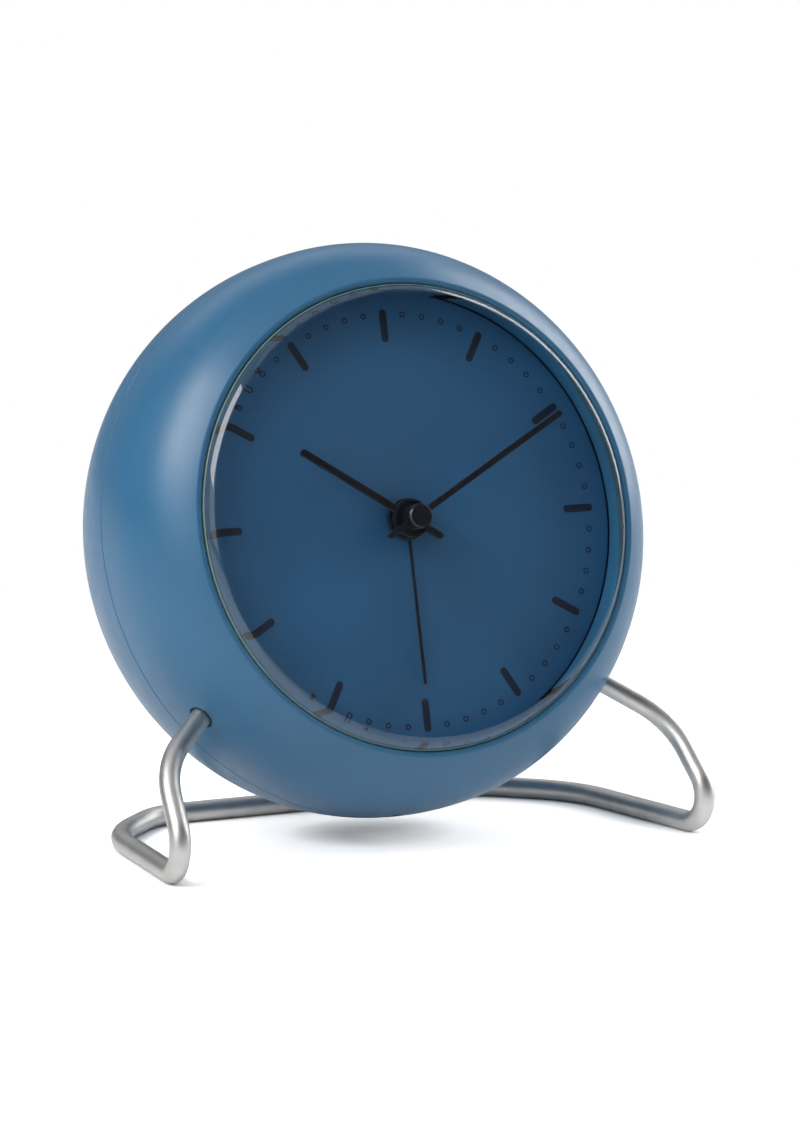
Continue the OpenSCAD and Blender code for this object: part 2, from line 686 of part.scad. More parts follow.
// Cuts the driver's cross into a screw's head, down to half its depth
module slotted(at, head_y, head_r, head_t)
    difference() {
        children();
        for (turn = [0, 90])
            translate([at[0], head_y, at[1]]) rotate([0, turn, 0])
                cube([head_r, head_t, head_r / 4], center = true);
    }
movement_screw_places =
    [for (x = [-1, 1], z = [-1, 1]) [x, z] * (movement_w / 2 - movement_round)];
movement_boss_r = 2 * small_head_r;
movement_boss_y = cover_y + 2 * gear_t;
module movement_outline(inset)
    round_rect(movement_w - 2 * inset, movement_w - 2 * inset, movement_round - inset);
module movement_base() {
    color("whitesmoke") clock() difference() {
        union() {
            slab(base_y, cover_y) movement_outline(0);
            post(centre, bush_out, -alarm_hub_back + loose_fit, cover_y);
            post(time_at, 2 * stem_r, cover_y, minute_layer - layer_gap);
            post(idler_at, arbor_r, cover_y, alarm_layer + gear_t + layer_gap);
            for (at = movement_screw_places)
                post(at, movement_boss_r, cover_y, movement_boss_y);
        }
        post(centre, bush_in, -alarm_hub_back - over, cover_y + over);
        post(time_at, arbor_r + run_fit, base_y + loose_fit, minute_layer + over);
        post(alarm_at, arbor_r + run_fit, base_y + loose_fit, cover_y + over);
        for (at = movement_screw_places)
            post(at, small_shank_r + run_fit, base_y - over, movement_boss_y + over);
    }
}
module movement_cover() {
    color("whitesmoke") clock() difference() {
        union() {
            difference() {
                slab(cover_y, cover_back) movement_outline(0);
                slab(cover_y - over, cover_back - movement_wall) movement_outline(movement_wall);
            }
            post(minute_at, arbor_r, hour_layer, cover_back);
            post(centre, 2 * stem_r, minute_layer + gear_t + layer_gap, cover_back);
        }
        post(centre, arbor_r + run_fit, cover_y, cover_back - movement_wall);
        for (at = [time_at, alarm_at])
            post(at, stem_r + run_fit, cover_y, cover_back + over);
    }
}
module movement_screws()
    color("silver") clock()
        for (at = movement_screw_places)
            slotted(at, carrier_y, small_head_r, small_head_t)
                screw(at, small_shank_r, small_head_r, small_head_t, carrier_y, 1, carrier_screw_l);

// Gears
// Flank of a tooth from root to tip: height past the pitch circle as shares of the module, and half
// the tooth's width as shares of the pitch, thinned for easy running
flank_shares = [[-1.15, 0.3], [-0.6, 0.27], [0, 0.215], [0.9, 0.1]];
module gear(n, turn) {
    pitch = 360 / n;
    rotate(turn) polygon([
        for (i = [0:n - 1], side = [-1, 1], j = [0:3])
            let (flank = flank_shares[side < 0 ? j : 3 - j], a = pitch * (i + side * flank[1]))
            (gear_r(n) + flank[0] * gear_m) * [cos(a), sin(a)]
    ]);
}
module centre_arbor() {
    color("goldenrod") clock() {
        post(centre, arbor_r, minute_hub_y, cover_back - movement_wall - loose_fit);
        slab(minute_layer, minute_layer + gear_t) gear(pinion_n, 0);
    }
}
module minute_wheel()
    color("white") clock() difference() {
        union() {
            slab(minute_layer, minute_layer + gear_t) translate(minute_at) gear(minute_n, minute_turn);
            slab(hour_layer, minute_layer) translate(minute_at) gear(leaf_n, 0);
        }
        post(minute_at, arbor_r + run_fit, hour_layer - over, minute_layer + gear_t + over);
    }
module hour_wheel()
    color("white") clock() difference() {
        union() {
            post(centre, hour_out, hour_hub_y + hub_gap, hour_layer + gear_t);
            slab(hour_layer, hour_layer + gear_t) gear(hour_n, hour_turn);
        }
        post(centre, hour_in, hour_hub_y - over, hour_layer + gear_t + over);
    }
module alarm_wheel()
    color("white") clock() difference() {
        union() {
            post(centre, alarm_out, alarm_hub_y, alarm_layer + gear_t);
            slab(alarm_layer, alarm_layer + gear_t) gear(alarm_n, 0);
        }
        post(centre, alarm_in, alarm_hub_y - over, alarm_layer + gear_t + over);
    }
module alarm_idler()
    color("white") clock() difference() {
        slab(alarm_layer, alarm_layer + gear_t) translate(idler_at) gear(idler_n, idler_turn);
        post(idler_at, arbor_r + run_fit, alarm_layer - over, alarm_layer + gear_t + over);
    }
module time_stem()
    color("white") clock() {
        post(time_at, arbor_r, base_y + 2 * loose_fit, minute_layer);
        slab(minute_layer, minute_layer + gear_t) translate(time_at) gear(set_n, set_turn);
        post(time_at, stem_r, minute_layer + gear_t, knob_y + knob_h - loose_fit);
    }
module alarm_stem()
    color("white") clock() {
        post(alarm_at, arbor_r, base_y + 2 * loose_fit, alarm_layer);
        slab(alarm_layer, alarm_layer + gear_t) translate(alarm_at) gear(alarm_set_n, alarm_set_turn);
        post(alarm_at, stem_r, alarm_layer + gear_t, knob_y + knob_h - loose_fit);
    }
module knob(at)
    color("#24405c") clock() difference() {
        post(at, knob_r, knob_y, knob_y + knob_h);
        post(at, stem_r + run_fit, knob_y - over, knob_y + knob_h - loose_fit);
        for (i = [0:knob_grooves - 1])
            post(at + around(knob_r + stem_r / 4, 360 * i / knob_grooves), stem_r / 3,
                knob_y - over, knob_y + knob_h + over);
    }
module time_knob() knob(time_at);
module alarm_knob() knob(alarm_at);

// Electrical parts in the movement's lower half
board_gap = 3.5;
board_w = movement_w - 2 * movement_wall - 2 * board_gap;
board_h = 12;
board_rise = 1.5;
board_z = movement_wall + board_rise + board_h / 2 - movement_w / 2;
board_t = 1;
board_y = cover_back - movement_wall - board_t;
motor_w = 14;
motor_h = 11;
motor_edge = 4;
motor_x = board_w / 2 - motor_edge - motor_w / 2;
coil_r = 2.6;
coil_edge = 2.2;
coil_gap = 4.2;
bobbin_r = 3.6;
bobbin_t = 0.8;
coil_l = board_w - coil_edge - coil_gap - motor_w - motor_edge - 2 * bobbin_t;
coil_at = [coil_edge + bobbin_t + coil_l / 2 - board_w / 2, board_y - bobbin_r, board_z];
module circuit_board()
    color("darkgreen") clock()
        slab(board_y, board_y + board_t) translate([0, board_z]) round_rect(board_w, board_h, board_t);
module drive_coil()
    color("peru") clock() translate(coil_at) rotate([0, 90, 0]) {
        cylinder(r = coil_r, h = coil_l, center = true);
        for (side = [-1, 1])
            translate([0, 0, side * (coil_l + bobbin_t) / 2])
                cylinder(r = bobbin_r, h = bobbin_t, center = true);
    }
module motor_unit()
    color("gainsboro") clock()
        slab(minute_layer, board_y) translate([motor_x, board_z])
            round_rect(motor_w, motor_h, board_t);

// Back panel, battery bay and switch
button_w = 5;
button_h = 3.2;
button_rise = 1.4;
flange_side = 2;
slider_t = 1;
switch_l = 14;
switch_h = 7;
switch_d = 4;
module back_panel() {
    color("#2f5878") clock() difference() {
        union() {
            slab(panel_front, panel_back) circle(r = panel_r);
            slab(bay_floor - bay_wall, panel_front)
                square([bay_l + 2 * bay_wall, bay_w + 2 * bay_wall], center = true);
        }
        slab(bay_floor, panel_back + over) square([bay_l, bay_w], center = true);
        slab(panel_back - door_t, panel_back + over)
            round_rect(door_l + 2 * loose_fit, door_w + 2 * loose_fit, door_round + loose_fit);
        for (at = [time_at, alarm_at])
            post(at, stem_r + loose_fit, panel_front - over, panel_back + over);
        slab(panel_front - over, panel_back + over) translate([0, -switch_z])
            round_rect(button_w + switch_travel + 2 * loose_fit, button_h + 2 * loose_fit, loose_fit);
        for (turn = panel_screw_turns)
            post(around(panel_screw_r, turn), small_shank_r + run_fit,
                panel_front - over, panel_back + over);
    }
}
module panel_screws()
    color("silver") clock()
        for (turn = panel_screw_turns)
            slotted(around(panel_screw_r, turn), panel_back + small_head_t, small_head_r, small_head_t)
                screw(around(panel_screw_r, turn), small_shank_r, small_head_r, small_head_t,
                    panel_back + small_head_t, -1, panel_t + ledge_t);
module alarm_slider()
    color("black") clock() {
        slab(panel_front - loose_fit, panel_back + button_rise)
            translate([-switch_travel / 2, -switch_z])
            round_rect(button_w, button_h, loose_fit);
        slab(panel_front - loose_fit - slider_t, panel_front - loose_fit)
            translate([-switch_travel / 2, -switch_z])
            square([button_w + flange_side, button_h + flange_side], center = true);
    }
module switch_body() {
    depth = panel_front - switch_d;
    color("silver") clock() difference() {
        slab(depth, panel_front) translate([0, -switch_z])
            square([switch_l, switch_h], center = true);
        slab(panel_front - slider_t - 2 * loose_fit, panel_front + over)
            translate([0, -switch_z])
            square([button_w + flange_side + switch_travel + 2 * loose_fit,
                button_h + flange_side + 2 * loose_fit], center = true);
    }
}
module battery_door()
    color("#2f5878") clock() difference() {
        union() {
            slab(panel_back - door_t, panel_back) round_rect(door_l, door_w, door_round);
            for (side = [-1, 1])
                slab(panel_front, panel_back - door_t)
                    translate([0, side * (bay_w / 2 - loose_fit - door_rim / 2)])
                    square([bay_l / 3, door_rim], center = true);
        }
        post([door_l / 2 - 2 * door_round, 0], 2 * door_round, panel_back - door_t / 2,
            panel_back + over);
    }
module battery_cell()
    color("goldenrod") clock() translate([cell_x - cell_l / 2, cell_y, 0]) rotate([0, 90, 0]) {
        cylinder(d = cell_d, h = cell_l);
        translate([0, 0, cell_l]) cylinder(d = nub_d, h = nub_l);
    }
module contact_plate(x)
    translate([x, cell_y, 0]) rotate([0, 90, 0])
        translate([-bay_w / 2 + loose_fit, -cell_d / 2, 0])
            cube([bay_w - 2 * loose_fit, cell_d, contact_t]);
module plus_contact()
    color("silver") clock() contact_plate(bay_l / 2 - contact_t);
module minus_contact()
    color("silver") clock() {
        contact_plate(-bay_l / 2);
        translate([-bay_l / 2 + contact_t, cell_y, 0]) rotate([0, 90, 0])
            cylinder(r1 = cell_d / 3, r2 = cell_d / 6, h = spring_h);
    }
module case_screws()
    color("silver") clock()
        for (turn = case_screw_turns)
            slotted(around(case_screw_r, turn), screw_floor_y + screw_floor_t + case_head_t,
                case_head_r, case_head_t)
                screw(around(case_screw_r, turn), case_shank_r - 2 * run_fit, case_head_r, case_head_t,
                    screw_floor_y + screw_floor_t + case_head_t, -1, case_screw_l);
module buzzer()
    color("goldenrod") clock() translate([slot_x, buzzer_y, -buzzer_z])
        cylinder(r = buzzer_r, h = buzzer_t);

// Wire stand: one wire of round section, swept from the middle of its rear run to each socket
wire_route = [[0, run_back, wire_r - dial_z], run_p, corner_p, foot_p, shoulder_p, wire_end];
wire_bends = [0, run_bend, corner_bend, foot_bend, shoulder_bend, 0];
wire_sides = 16;
bend_step = 6.5;
// Places and headings along one bend of the route
function bend_rings(a, b, c, r) =
    let (middle = bend_centre(a, b, c, r), out = unit(b - middle))
    let (ahead = unit(cross(cross(out, c - a), out)))
    let (sweep = 180 - 2 * bend_half(a, b, c), steps = ceil(sweep / bend_step))
    [for (i = [0:steps])
        let (turn = sweep * (i / steps - 1 / 2))
        [middle + r * (cos(turn) * out + sin(turn) * ahead), cos(turn) * ahead - sin(turn) * out]];
route_end = len(wire_route) - 1;
half_route = concat(
    [[wire_route[0], [1, 0, 0]]],
    [for (i = [1:route_end - 1])
        each bend_rings(wire_route[i - 1], wire_route[i], wire_route[i + 1], wire_bends[i])],
    [[wire_end, wire_way]]
);
// The side of the wire that points down in the rear run, carried along without twist
ring_sides = [
    for (i = 0, side = [0, 0, -1]; i < len(half_route);
        i = i + 1, side = i < len(half_route) ? across(side, half_route[i][1]) : side) side
];
function across(side, way) = unit(side - way * (side * way));
function wire_ring(place, way, side) =
    [for (i = [0:wire_sides - 1])
        let (turn = 360 * i / wire_sides)
        place + wire_r * (cos(turn) * side + sin(turn) * cross(way, side))];
half_rings = [for (i = [0:len(half_route) - 1])
    wire_ring(half_route[i][0], half_route[i][1], ring_sides[i])];
module wire_stand() {
    left_rings = [for (ring = reversed(half_rings)) [for (p = ring) [-p[0], p[1], p[2]]]];
    rings = concat(left_rings, [for (i = [1:len(half_rings) - 1]) half_rings[i]]);
    last = len(rings) - 1;
    color("silver") translate([0, dial_y, dial_z]) polyhedron(
        points = [for (ring = rings) each ring],
        faces = concat(
            [[for (j = [0:wire_sides - 1]) j]],
            [for (i = [0:last - 1], j = [0:wire_sides - 1])
                let (k = (j + 1) % wire_sides)
                [i * wire_sides + j, (i + 1) * wire_sides + j,
                    (i + 1) * wire_sides + k, i * wire_sides + k]],
            [[for (j = [wire_sides - 1:-1:0]) last * wire_sides + j]]
        )
    );
}

front_shell();
rear_shell();
crystal();
crystal_gasket();
reflector_ring();
dial();
hour_bars();
minute_rings();
hour_hand();
minute_hand();
alarm_hand();
hand_cap();
dial_carrier();
carrier_screws();
movement_base();
movement_cover();
movement_screws();
centre_arbor();
minute_wheel();
hour_wheel();
alarm_wheel();
alarm_idler();
circuit_board();
drive_coil();
motor_unit();
time_stem();
time_knob();
alarm_stem();
alarm_knob();
back_panel();
panel_screws();
case_screws();
alarm_slider();
switch_body();
battery_door();
battery_cell();
plus_contact();
minus_contact();
buzzer();
wire_stand();
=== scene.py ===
"""Looks of a round table clock that leans back on a bent wire stand."""
import json
import math

import bmesh
import bpy
from mathutils import Matrix, Vector


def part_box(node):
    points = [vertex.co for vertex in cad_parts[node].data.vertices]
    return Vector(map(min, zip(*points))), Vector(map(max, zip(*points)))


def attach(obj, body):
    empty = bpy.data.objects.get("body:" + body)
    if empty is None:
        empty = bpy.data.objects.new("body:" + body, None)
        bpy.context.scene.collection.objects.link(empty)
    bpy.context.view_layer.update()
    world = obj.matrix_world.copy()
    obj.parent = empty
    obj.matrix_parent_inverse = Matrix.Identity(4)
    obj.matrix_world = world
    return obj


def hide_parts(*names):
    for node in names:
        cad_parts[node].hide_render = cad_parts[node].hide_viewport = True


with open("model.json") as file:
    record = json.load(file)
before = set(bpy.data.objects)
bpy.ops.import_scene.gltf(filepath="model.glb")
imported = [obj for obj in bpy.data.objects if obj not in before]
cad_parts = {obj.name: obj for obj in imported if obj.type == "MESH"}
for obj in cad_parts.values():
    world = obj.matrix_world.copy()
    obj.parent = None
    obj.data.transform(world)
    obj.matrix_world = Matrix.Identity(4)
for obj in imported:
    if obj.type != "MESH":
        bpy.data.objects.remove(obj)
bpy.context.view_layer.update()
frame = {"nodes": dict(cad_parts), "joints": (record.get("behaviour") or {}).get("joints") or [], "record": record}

scene = bpy.context.scene
MM = 0.001

# The clock's own frame: the centre of the dial's face is the origin, X points right seen from the
# front, Y points to the back and Z up to twelve o'clock. Sizes below are in millimetres.
joints = {joint["name"]: joint for joint in frame["joints"]}
dial_centre = Vector(joints["minute_hand_turn"]["pos_m"])
clock_back = Vector(joints["minute_hand_turn"]["axis"]).normalized()
clock_right = Vector((1, 0, 0))
clock_up = clock_right.cross(clock_back)
CLOCK = Matrix((clock_right, clock_back, clock_up)).transposed().to_4x4()
CLOCK.translation = dial_centre
CLOCK = CLOCK @ Matrix.Scale(MM, 4)
TO_CLOCK = CLOCK.inverted()
STAND = Matrix.Translation(dial_centre) @ Matrix.Scale(MM, 4)

# Case
case_r = 55
seam_y = 16.3
front_power = 2.7
back_power = 2.15
back_y = 51
wall = 2.5
lip_round = 0.8
lip_rise = 0.25
lip_roll = 0.95
rim_round = 1.4
back_rim_w = 2.7
back_rim_edge = 0.3
seam_gap = 0.2
seam_edge = 0.12
seam_depth = 0.3
seam_play = 0.01
tongue = 2
fit = 0.2
panel_recess = 3.2
panel_t = 2
panel_r = 32.996
ledge_w = 3.2
ledge_t = 2
case_screw_r = 48
case_screw_turns = (50, 155, 205, 310)
well_r = 2.6
well_floor_y = 22
slot_pitch = 4
slot_w = 1.6
slot_from = 11.4
slot_to = 27
slot_x = 6
slot_count = 5

# Crystal, reflector ring and dial. The shadow is the recess between the ring and the dial, its faces painted black
# as painted shade
crystal_r = 44
glass_t = 2
dome_rise = 2.1
bevel_w = 1.35
bevel_h = 1.8
flange_w = 1.1
flange_t = 1
crystal_gap = 0.15
glass_side_gap = 0.02
glass_inner_over = 0.35
glass_inner_round = 0.48
bevel_bulge = 18
reflector_h = 4
reflector_edge = 0.1
gasket_t = 0.6
dial_r = 43.5
dial_t = 0.8
dial_hole_r = 2.9
dial_edge = 0.05
dial_edge_gap = 0.2
shadow_gap = 0.25
shadow_depth = 0.25
shadow_floor_t = 0.1
shadow_edge = 0.05
print_t = 0.03
hours = 12
minutes = 60
bar_l = 6.3
bar_w = 1.46
bar_end_r = 40.2
ring_track_r = 39.2
ring_d = 1.15
ring_line = 0.26

# Hands
arbor_r = 0.9
hour_pipe_r = 1.5
alarm_pipe_r = 2.1
minute_l = 37.6
minute_w = 1.2
hour_l = 25.5
hour_w = 1.4
alarm_l = 31.3
alarm_w = 0.55
tail_l = 7.3
hand_t = 0.6
alarm_t = 0.4
hand_edge = 0.1
minute_heading = -61.2
hour_heading = -303.2
alarm_heading = -180
alarm_hub_r = 4
alarm_hub_t = 1
alarm_hub_y = -1.5
hour_hub_r = 3.7
hour_hub_t = 1.5
hour_hub_y = -3.4
hub_rim = 0.4
hub_edge = 0.12
minute_hub_r = 2.35
minute_hub_t = 2.1
minute_hub_y = -5.9
cap_r = 2.4
cap_t = 1.3
cap_round = 0.35
cap_edge = 0.08
cap_foot_edge = 0.06

# Back: setting knobs, and the edges of plain nodes that are softened, with their widths
knob_y = 48
knob_r = 6.5
knob_h = 2.7
knob_soft = 0.7
stem_hole_r = 1.6
flute_count = 24
flute_share = 0.55
flute_depth = 0.35
dish_r = 4.3
dish_depth = 0.1
softened_edges = {
    "back_panel": 0.15, "battery_door": 0.15, "alarm_slider": 0.2, "panel_screws": 0.1,
}

# Stand, from the dial's centre, X right, Y back and Z up off the table. The drawn wire is thinner
# by wire_shy, so that its facets stay in the CAD wire
wire_r = 2
wire_shy = 0.012
hole_turn = 52
hole_y = 7.2
shoulder = Vector((53.6, -8.5, 21))
foot = Vector((56.3, -26.4, wire_r))
corner = Vector((50.2, 22.6, wire_r))
run = Vector((34.6, 38.1, wire_r))
shoulder_bend = 18.5
foot_bend = 5.7
corner_bend = 25
run_bend = 15
wire_in = 11
mouth_gap = 0.45
mouth_depth = 1.2
bore_gap = 0.08

# Fineness of the meshes: faces in a whole turn, steps in an arc, halvings of a bisection, and the
# angles in degrees past which an edge is drawn sharp
case_faces = 360
dial_faces = 180
hub_faces = 128
ring_faces = 32
wire_faces = 40
flute_faces = 12
rod_faces = 64
outline_steps = 72
lip_steps = 20
rim_steps = 12
corner_steps = 4
slot_steps = 12
bevel_steps = 12
dome_steps = 40
bar_steps = 12
blade_steps = 16
knob_steps = 8
bend_steps = 20
edge_steps = 3
halvings = 50
crease = 32
soft_crease = 50
tiny = 1e-6
# Most of an edge that the rounding of one of its ends may take
rounding_share = 0.49


def smooth_shaded(mesh, sharp_angle=crease):
    mesh.shade_smooth()
    mesh.set_sharp_from_angle(angle=math.radians(sharp_angle))


def mesh_from(name, bm, matrix=CLOCK):
    """Closes a bmesh drawn in millimetres and puts it in the row frame, in metres."""
    bmesh.ops.recalc_face_normals(bm, faces=bm.faces)
    mesh = bpy.data.meshes.new(name)
    bm.to_mesh(mesh)
    bm.free()
    mesh.transform(matrix)
    smooth_shaded(mesh)
    return mesh


def piece(name, mesh, body, slot, material, *nodes):
    """A piece of the object: it rides on a body and may stand for CAD nodes. Its slot argument is not used."""
    obj = bpy.data.objects.new(name, mesh)
    scene.collection.objects.link(obj)
    mesh.materials.clear()
    mesh.materials.append(material)
    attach(obj, body)
    if nodes:
        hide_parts(*nodes)
    return obj


# Outlines
def arc(centre, radius, start, end, steps):
    """Points along an arc, with angles in degrees."""
    angles = [math.radians(start + (end - start) * i / steps) for i in range(steps + 1)]
    return [(centre[0] + radius * math.cos(a), centre[1] + radius * math.sin(a)) for a in angles]


def rounded(corners):
    """A closed outline from (x, y, radius) corners, each rounded by its radius."""
    outline = []
    for i, (x, y, radius) in enumerate(corners):
        here = Vector((x, y))
        if radius == 0:
            outline.append((x, y))
            continue
        before = Vector(corners[i - 1][:2]) - here
        after = Vector(corners[(i + 1) % len(corners)][:2]) - here
        half = before.angle(after) / 2
        longest = rounding_share * min(before.length, after.length)
        reach = min(radius / math.tan(half), longest)
        radius = reach * math.tan(half)
        inward = (before.normalized() + after.normalized()).normalized()
        middle = here + inward * radius / math.sin(half)
        first = here + before.normalized() * reach - middle
        turn = first.angle_signed(here + after.normalized() * reach - middle)
        for k in range(corner_steps + 1):
            at = middle + Matrix.Rotation(-turn * k / corner_steps, 2) @ first
            outline.append((at.x, at.y))
    return outline


def lathe(outline, segments):
    """A bmesh turned round the Y axis from a closed outline of (radius, y) points."""
    bm = bmesh.new()
    turns = [2 * math.pi * i / segments for i in range(segments)]
    rings = []
    for radius, y in outline:
        if radius < tiny:
            rings.append([bm.verts.new((0, y, 0))])
        else:
            places = [(radius * math.sin(a), y, radius * math.cos(a)) for a in turns]
            rings.append([bm.verts.new(place) for place in places])
    for low, high in zip(rings, rings[1:] + rings[:1]):
        bridge(bm, low, high, segments)
    return bm


def bridge(bm, low, high, segments):
    """Joins two rings by faces; a ring of one vert is a point on the axis."""
    for i in range(segments):
        j = (i + 1) % segments
        corners = [
            low[i % len(low)], low[j % len(low)], high[j % len(high)], high[i % len(high)],
        ]
        corners = list(dict.fromkeys(corners))
        if len(corners) > 2:
            bm.faces.new(corners)


def extruded(points, vec):
    """A bmesh of a flat outline pushed along a vector."""
    bm = bmesh.new()
    face = bm.faces.new([bm.verts.new(point) for point in points])
    raised = bmesh.ops.extrude_face_region(bm, geom=[face])["geom"]
    verts = [v for v in raised if isinstance(v, bmesh.types.BMVert)]
    bmesh.ops.translate(bm, verts=verts, vec=vec)
    return bm


def plate(outline, front, back, edge=0.0):
    """A bmesh extruded along Y from a closed outline of (x, z) points, its front edge rounded."""
    bm = extruded([(x, back, z) for x, z in outline], (0, front - back, 0))
    if edge:
        rim = [e for e in bm.edges if all(abs(v.co.y - front) < tiny for v in e.verts)]
        bmesh.ops.bevel(bm, geom=rim, offset=edge, segments=edge_steps, affect="EDGES",
                        profile=0.5)
    return bm


def bar_outline(width, start, end, heading, steps=bar_steps):
    """Outline of a bar with round ends along a heading, in degrees anticlockwise from twelve."""
    r = width / 2
    points = arc((0, end - r), r, 0, 180, steps) + arc((0, start + r), r, 180, 360, steps)
    turn = Matrix.Rotation(math.radians(heading), 2)
    return [tuple(turn @ Vector(p)) for p in points]


def combined(bms):
    """Joins several bmeshes into the first."""
    first = bms[0]
    for other in bms[1:]:
        mesh = bpy.data.meshes.new("part")
        other.to_mesh(mesh)
        other.free()
        first.from_mesh(mesh)
        bpy.data.meshes.remove(mesh)
    return first


def boolean(mesh, others, operation):
    """The mesh less, or with, each of the others, by an exact boolean."""
    base = bpy.data.objects.new("base", mesh)
    scene.collection.objects.link(base)
    tools = []
    for other in others:
        tool = bpy.data.objects.new("tool", other)
        scene.collection.objects.link(tool)
        tools.append(tool)
        change = base.modifiers.new("change", "BOOLEAN")
        change.operation = operation
        change.solver = "EXACT"
        change.object = tool
    bpy.context.view_layer.update()
    evaluated = base.evaluated_get(bpy.context.evaluated_depsgraph_get())
    result = bpy.data.meshes.new_from_object(evaluated)
    result.name = mesh.name
    for obj in [base] + tools:
        bpy.data.objects.remove(obj)
    smooth_shaded(result)
    return result


# Case
def fullness(r, inset, power):
    """Share of the reach that the case's outline keeps at a radius, inset by a wall."""
    return (1 - (r / (case_r - inset)) ** power) ** (1 / power)


gasket_y = -reflector_h
flange_y = gasket_y - gasket_t
lip_back_y = flange_y - flange_t
opening_r = crystal_r + crystal_gap
flange_r = crystal_r + flange_w
seat_r = flange_r + fit
land_y = dial_t - fit
panel_back = back_y - panel_recess
panel_front = panel_back - panel_t
ledge_r = panel_r - ledge_w
panel_hole_r = panel_r + fit / 2
rim_r = panel_hole_r + back_rim_w
front_len = lip_round + (seam_y - lip_back_y + lip_rise) / fullness(
    opening_r + lip_round, lip_round, front_power)
back_len = rim_round + (back_y - rim_round - seam_y) / fullness(rim_r, rim_round, back_power)


def shell_side(y):
    """Length and power of the half of the outline that a depth lies in."""
    return (front_len, front_power) if y < seam_y else (back_len, back_power)


def egg_r(y, inset=0):
    """Radius of the case at a depth, inset by a wall."""
    length, power = shell_side(y)
    return (case_r - inset) * (1 - (abs(y - seam_y) / (length - inset)) ** power) ** (1 / power)


def egg_points(way, inset, end_r):
    """Points along one half of the outline, from the seam to the radius at the far end. The way
    is -1 for the front half and 1 for the back half."""
    length, power = shell_side(seam_y + way)
    r = case_r - inset
    end = math.acos((end_r / r) ** (power / 2))
    points = []
    for i in range(outline_steps + 1):
        a = end * i / outline_steps
        radius = r * math.cos(a) ** (2 / power)
        points.append((radius, seam_y + way * (length - inset) * math.sin(a) ** (2 / power)))
    return points


def egg_gradient(r, y):
    """Outward normal of the case's outline, as (radial, axial)."""
    length, power = shell_side(y)
    radial = (r / case_r) ** (power - 1) / case_r
    axial = (abs(y - seam_y) / length) ** (power - 1) / length
    return Vector((radial, -axial if y < seam_y else axial)).normalized()


def egg_true_normals(mesh):
    """Gives the case's outer faces the exact normals of its form, so that cuts don't shade."""
    over, miss, facing_least = 0.01, 0.02, 0.9
    turn = CLOCK.to_3x3().normalized()
    corner_normals = [Vector(n.vector) for n in mesh.corner_normals]
    for polygon in mesh.polygons:
        facing = turn.transposed() @ polygon.normal
        for k in polygon.loop_indices:
            at = TO_CLOCK @ mesh.vertices[mesh.loops[k].vertex_index].co
            r = math.hypot(at.x, at.z)
            if r > case_r + over or not seam_y - front_len < at.y < seam_y + back_len:
                continue
            if abs(egg_r(at.y) - r) > miss or r < crystal_r:
                continue
            slope = egg_gradient(r, at.y)
            exact = Vector((at.x / r * slope.x, slope.y, at.z / r * slope.x))
            if facing.dot(exact) > facing_least:
                corner_normals[k] = turn @ exact
    mesh.normals_split_custom_set(corner_normals)


def rolled_edge(way, radius, reached):
    """A circle inside the outline that touches it, at the first place where reached(centre) holds:
    its centre, the place where it touches and the heading of that place, in degrees."""
    length, power = shell_side(seam_y + way)
    low, high = 0.0, 1.0
    for _ in range(halvings):
        middle = (low + high) / 2
        r = case_r * (1 - middle)
        y = seam_y + way * length * fullness(r, 0, power)
        slope = egg_gradient(r, y)
        centre = (r - radius * slope.x, y - radius * slope.y)
        if reached(centre):
            high = middle
        else:
            low = middle
    return centre, (r, y), math.degrees(math.atan2(slope.y, slope.x))


def front_shell_outline():
    lip_at, lip_start, lip_angle = rolled_edge(
        -1, lip_roll, lambda centre: centre[0] < opening_r + lip_roll)
    outer = egg_points(-1, 0, lip_start[0])
    lip = arc(lip_at, lip_roll, lip_angle, -180, lip_steps)[1:]
    inner = reversed(egg_points(-1, wall, egg_r(land_y, wall)))
    tongue_r = case_r - wall / 2
    outline = [(*outer[0], seam_edge)] + [(*p, 0) for p in outer[1:]]
    outline += [(*p, 0) for p in lip if p[1] < lip_back_y]
    outline += [(opening_r, lip_back_y, 0), (seat_r, lip_back_y, 0), (seat_r, land_y, 0)]
    outline += [(egg_r(land_y, wall), land_y, 0)]
    outline += [(*p, 0) for p in inner if land_y < p[1] < seam_y - tongue]
    outline += [(tongue_r, seam_y - tongue, 0), (tongue_r, seam_y, 0)]
    return rounded(outline)


def rear_shell_outline():
    rim_at, rim_start, rim_angle = rolled_edge(
        1, rim_round, lambda centre: centre[1] > back_y - rim_round)
    front_edge = seam_y + seam_gap
    ledge_front = panel_front - ledge_t
    ledge_side = egg_r(ledge_front, wall)
    outer = egg_points(1, 0, rim_start[0])
    rim = arc(rim_at, rim_round, rim_angle, 90, rim_steps)[1:]
    inner = reversed(egg_points(1, wall, ledge_side))
    tongue_r = case_r - wall / 2 - fit / 2
    tongue_y = seam_y - tongue + fit
    groove_r = case_r - seam_depth
    groove_y = seam_y + seam_play
    outline = [(egg_r(front_edge), front_edge, seam_edge)]
    outline += [(*p, 0) for p in outer if p[1] > front_edge + seam_edge]
    outline += [(*p, 0) for p in rim]
    outline += [(panel_hole_r, back_y, back_rim_edge), (panel_hole_r, panel_front, 0)]
    outline += [(ledge_r, panel_front, 0), (ledge_r, ledge_front, 0), (ledge_side, ledge_front, 0)]
    outline += [(*p, 0) for p in inner if front_edge < p[1] < ledge_front]
    outline += [(case_r - wall, tongue_y, 0), (tongue_r, tongue_y, 0)]
    outline += [(tongue_r, groove_y, 0), (groove_r, groove_y, 0), (groove_r, front_edge, 0)]
    return rounded(outline)


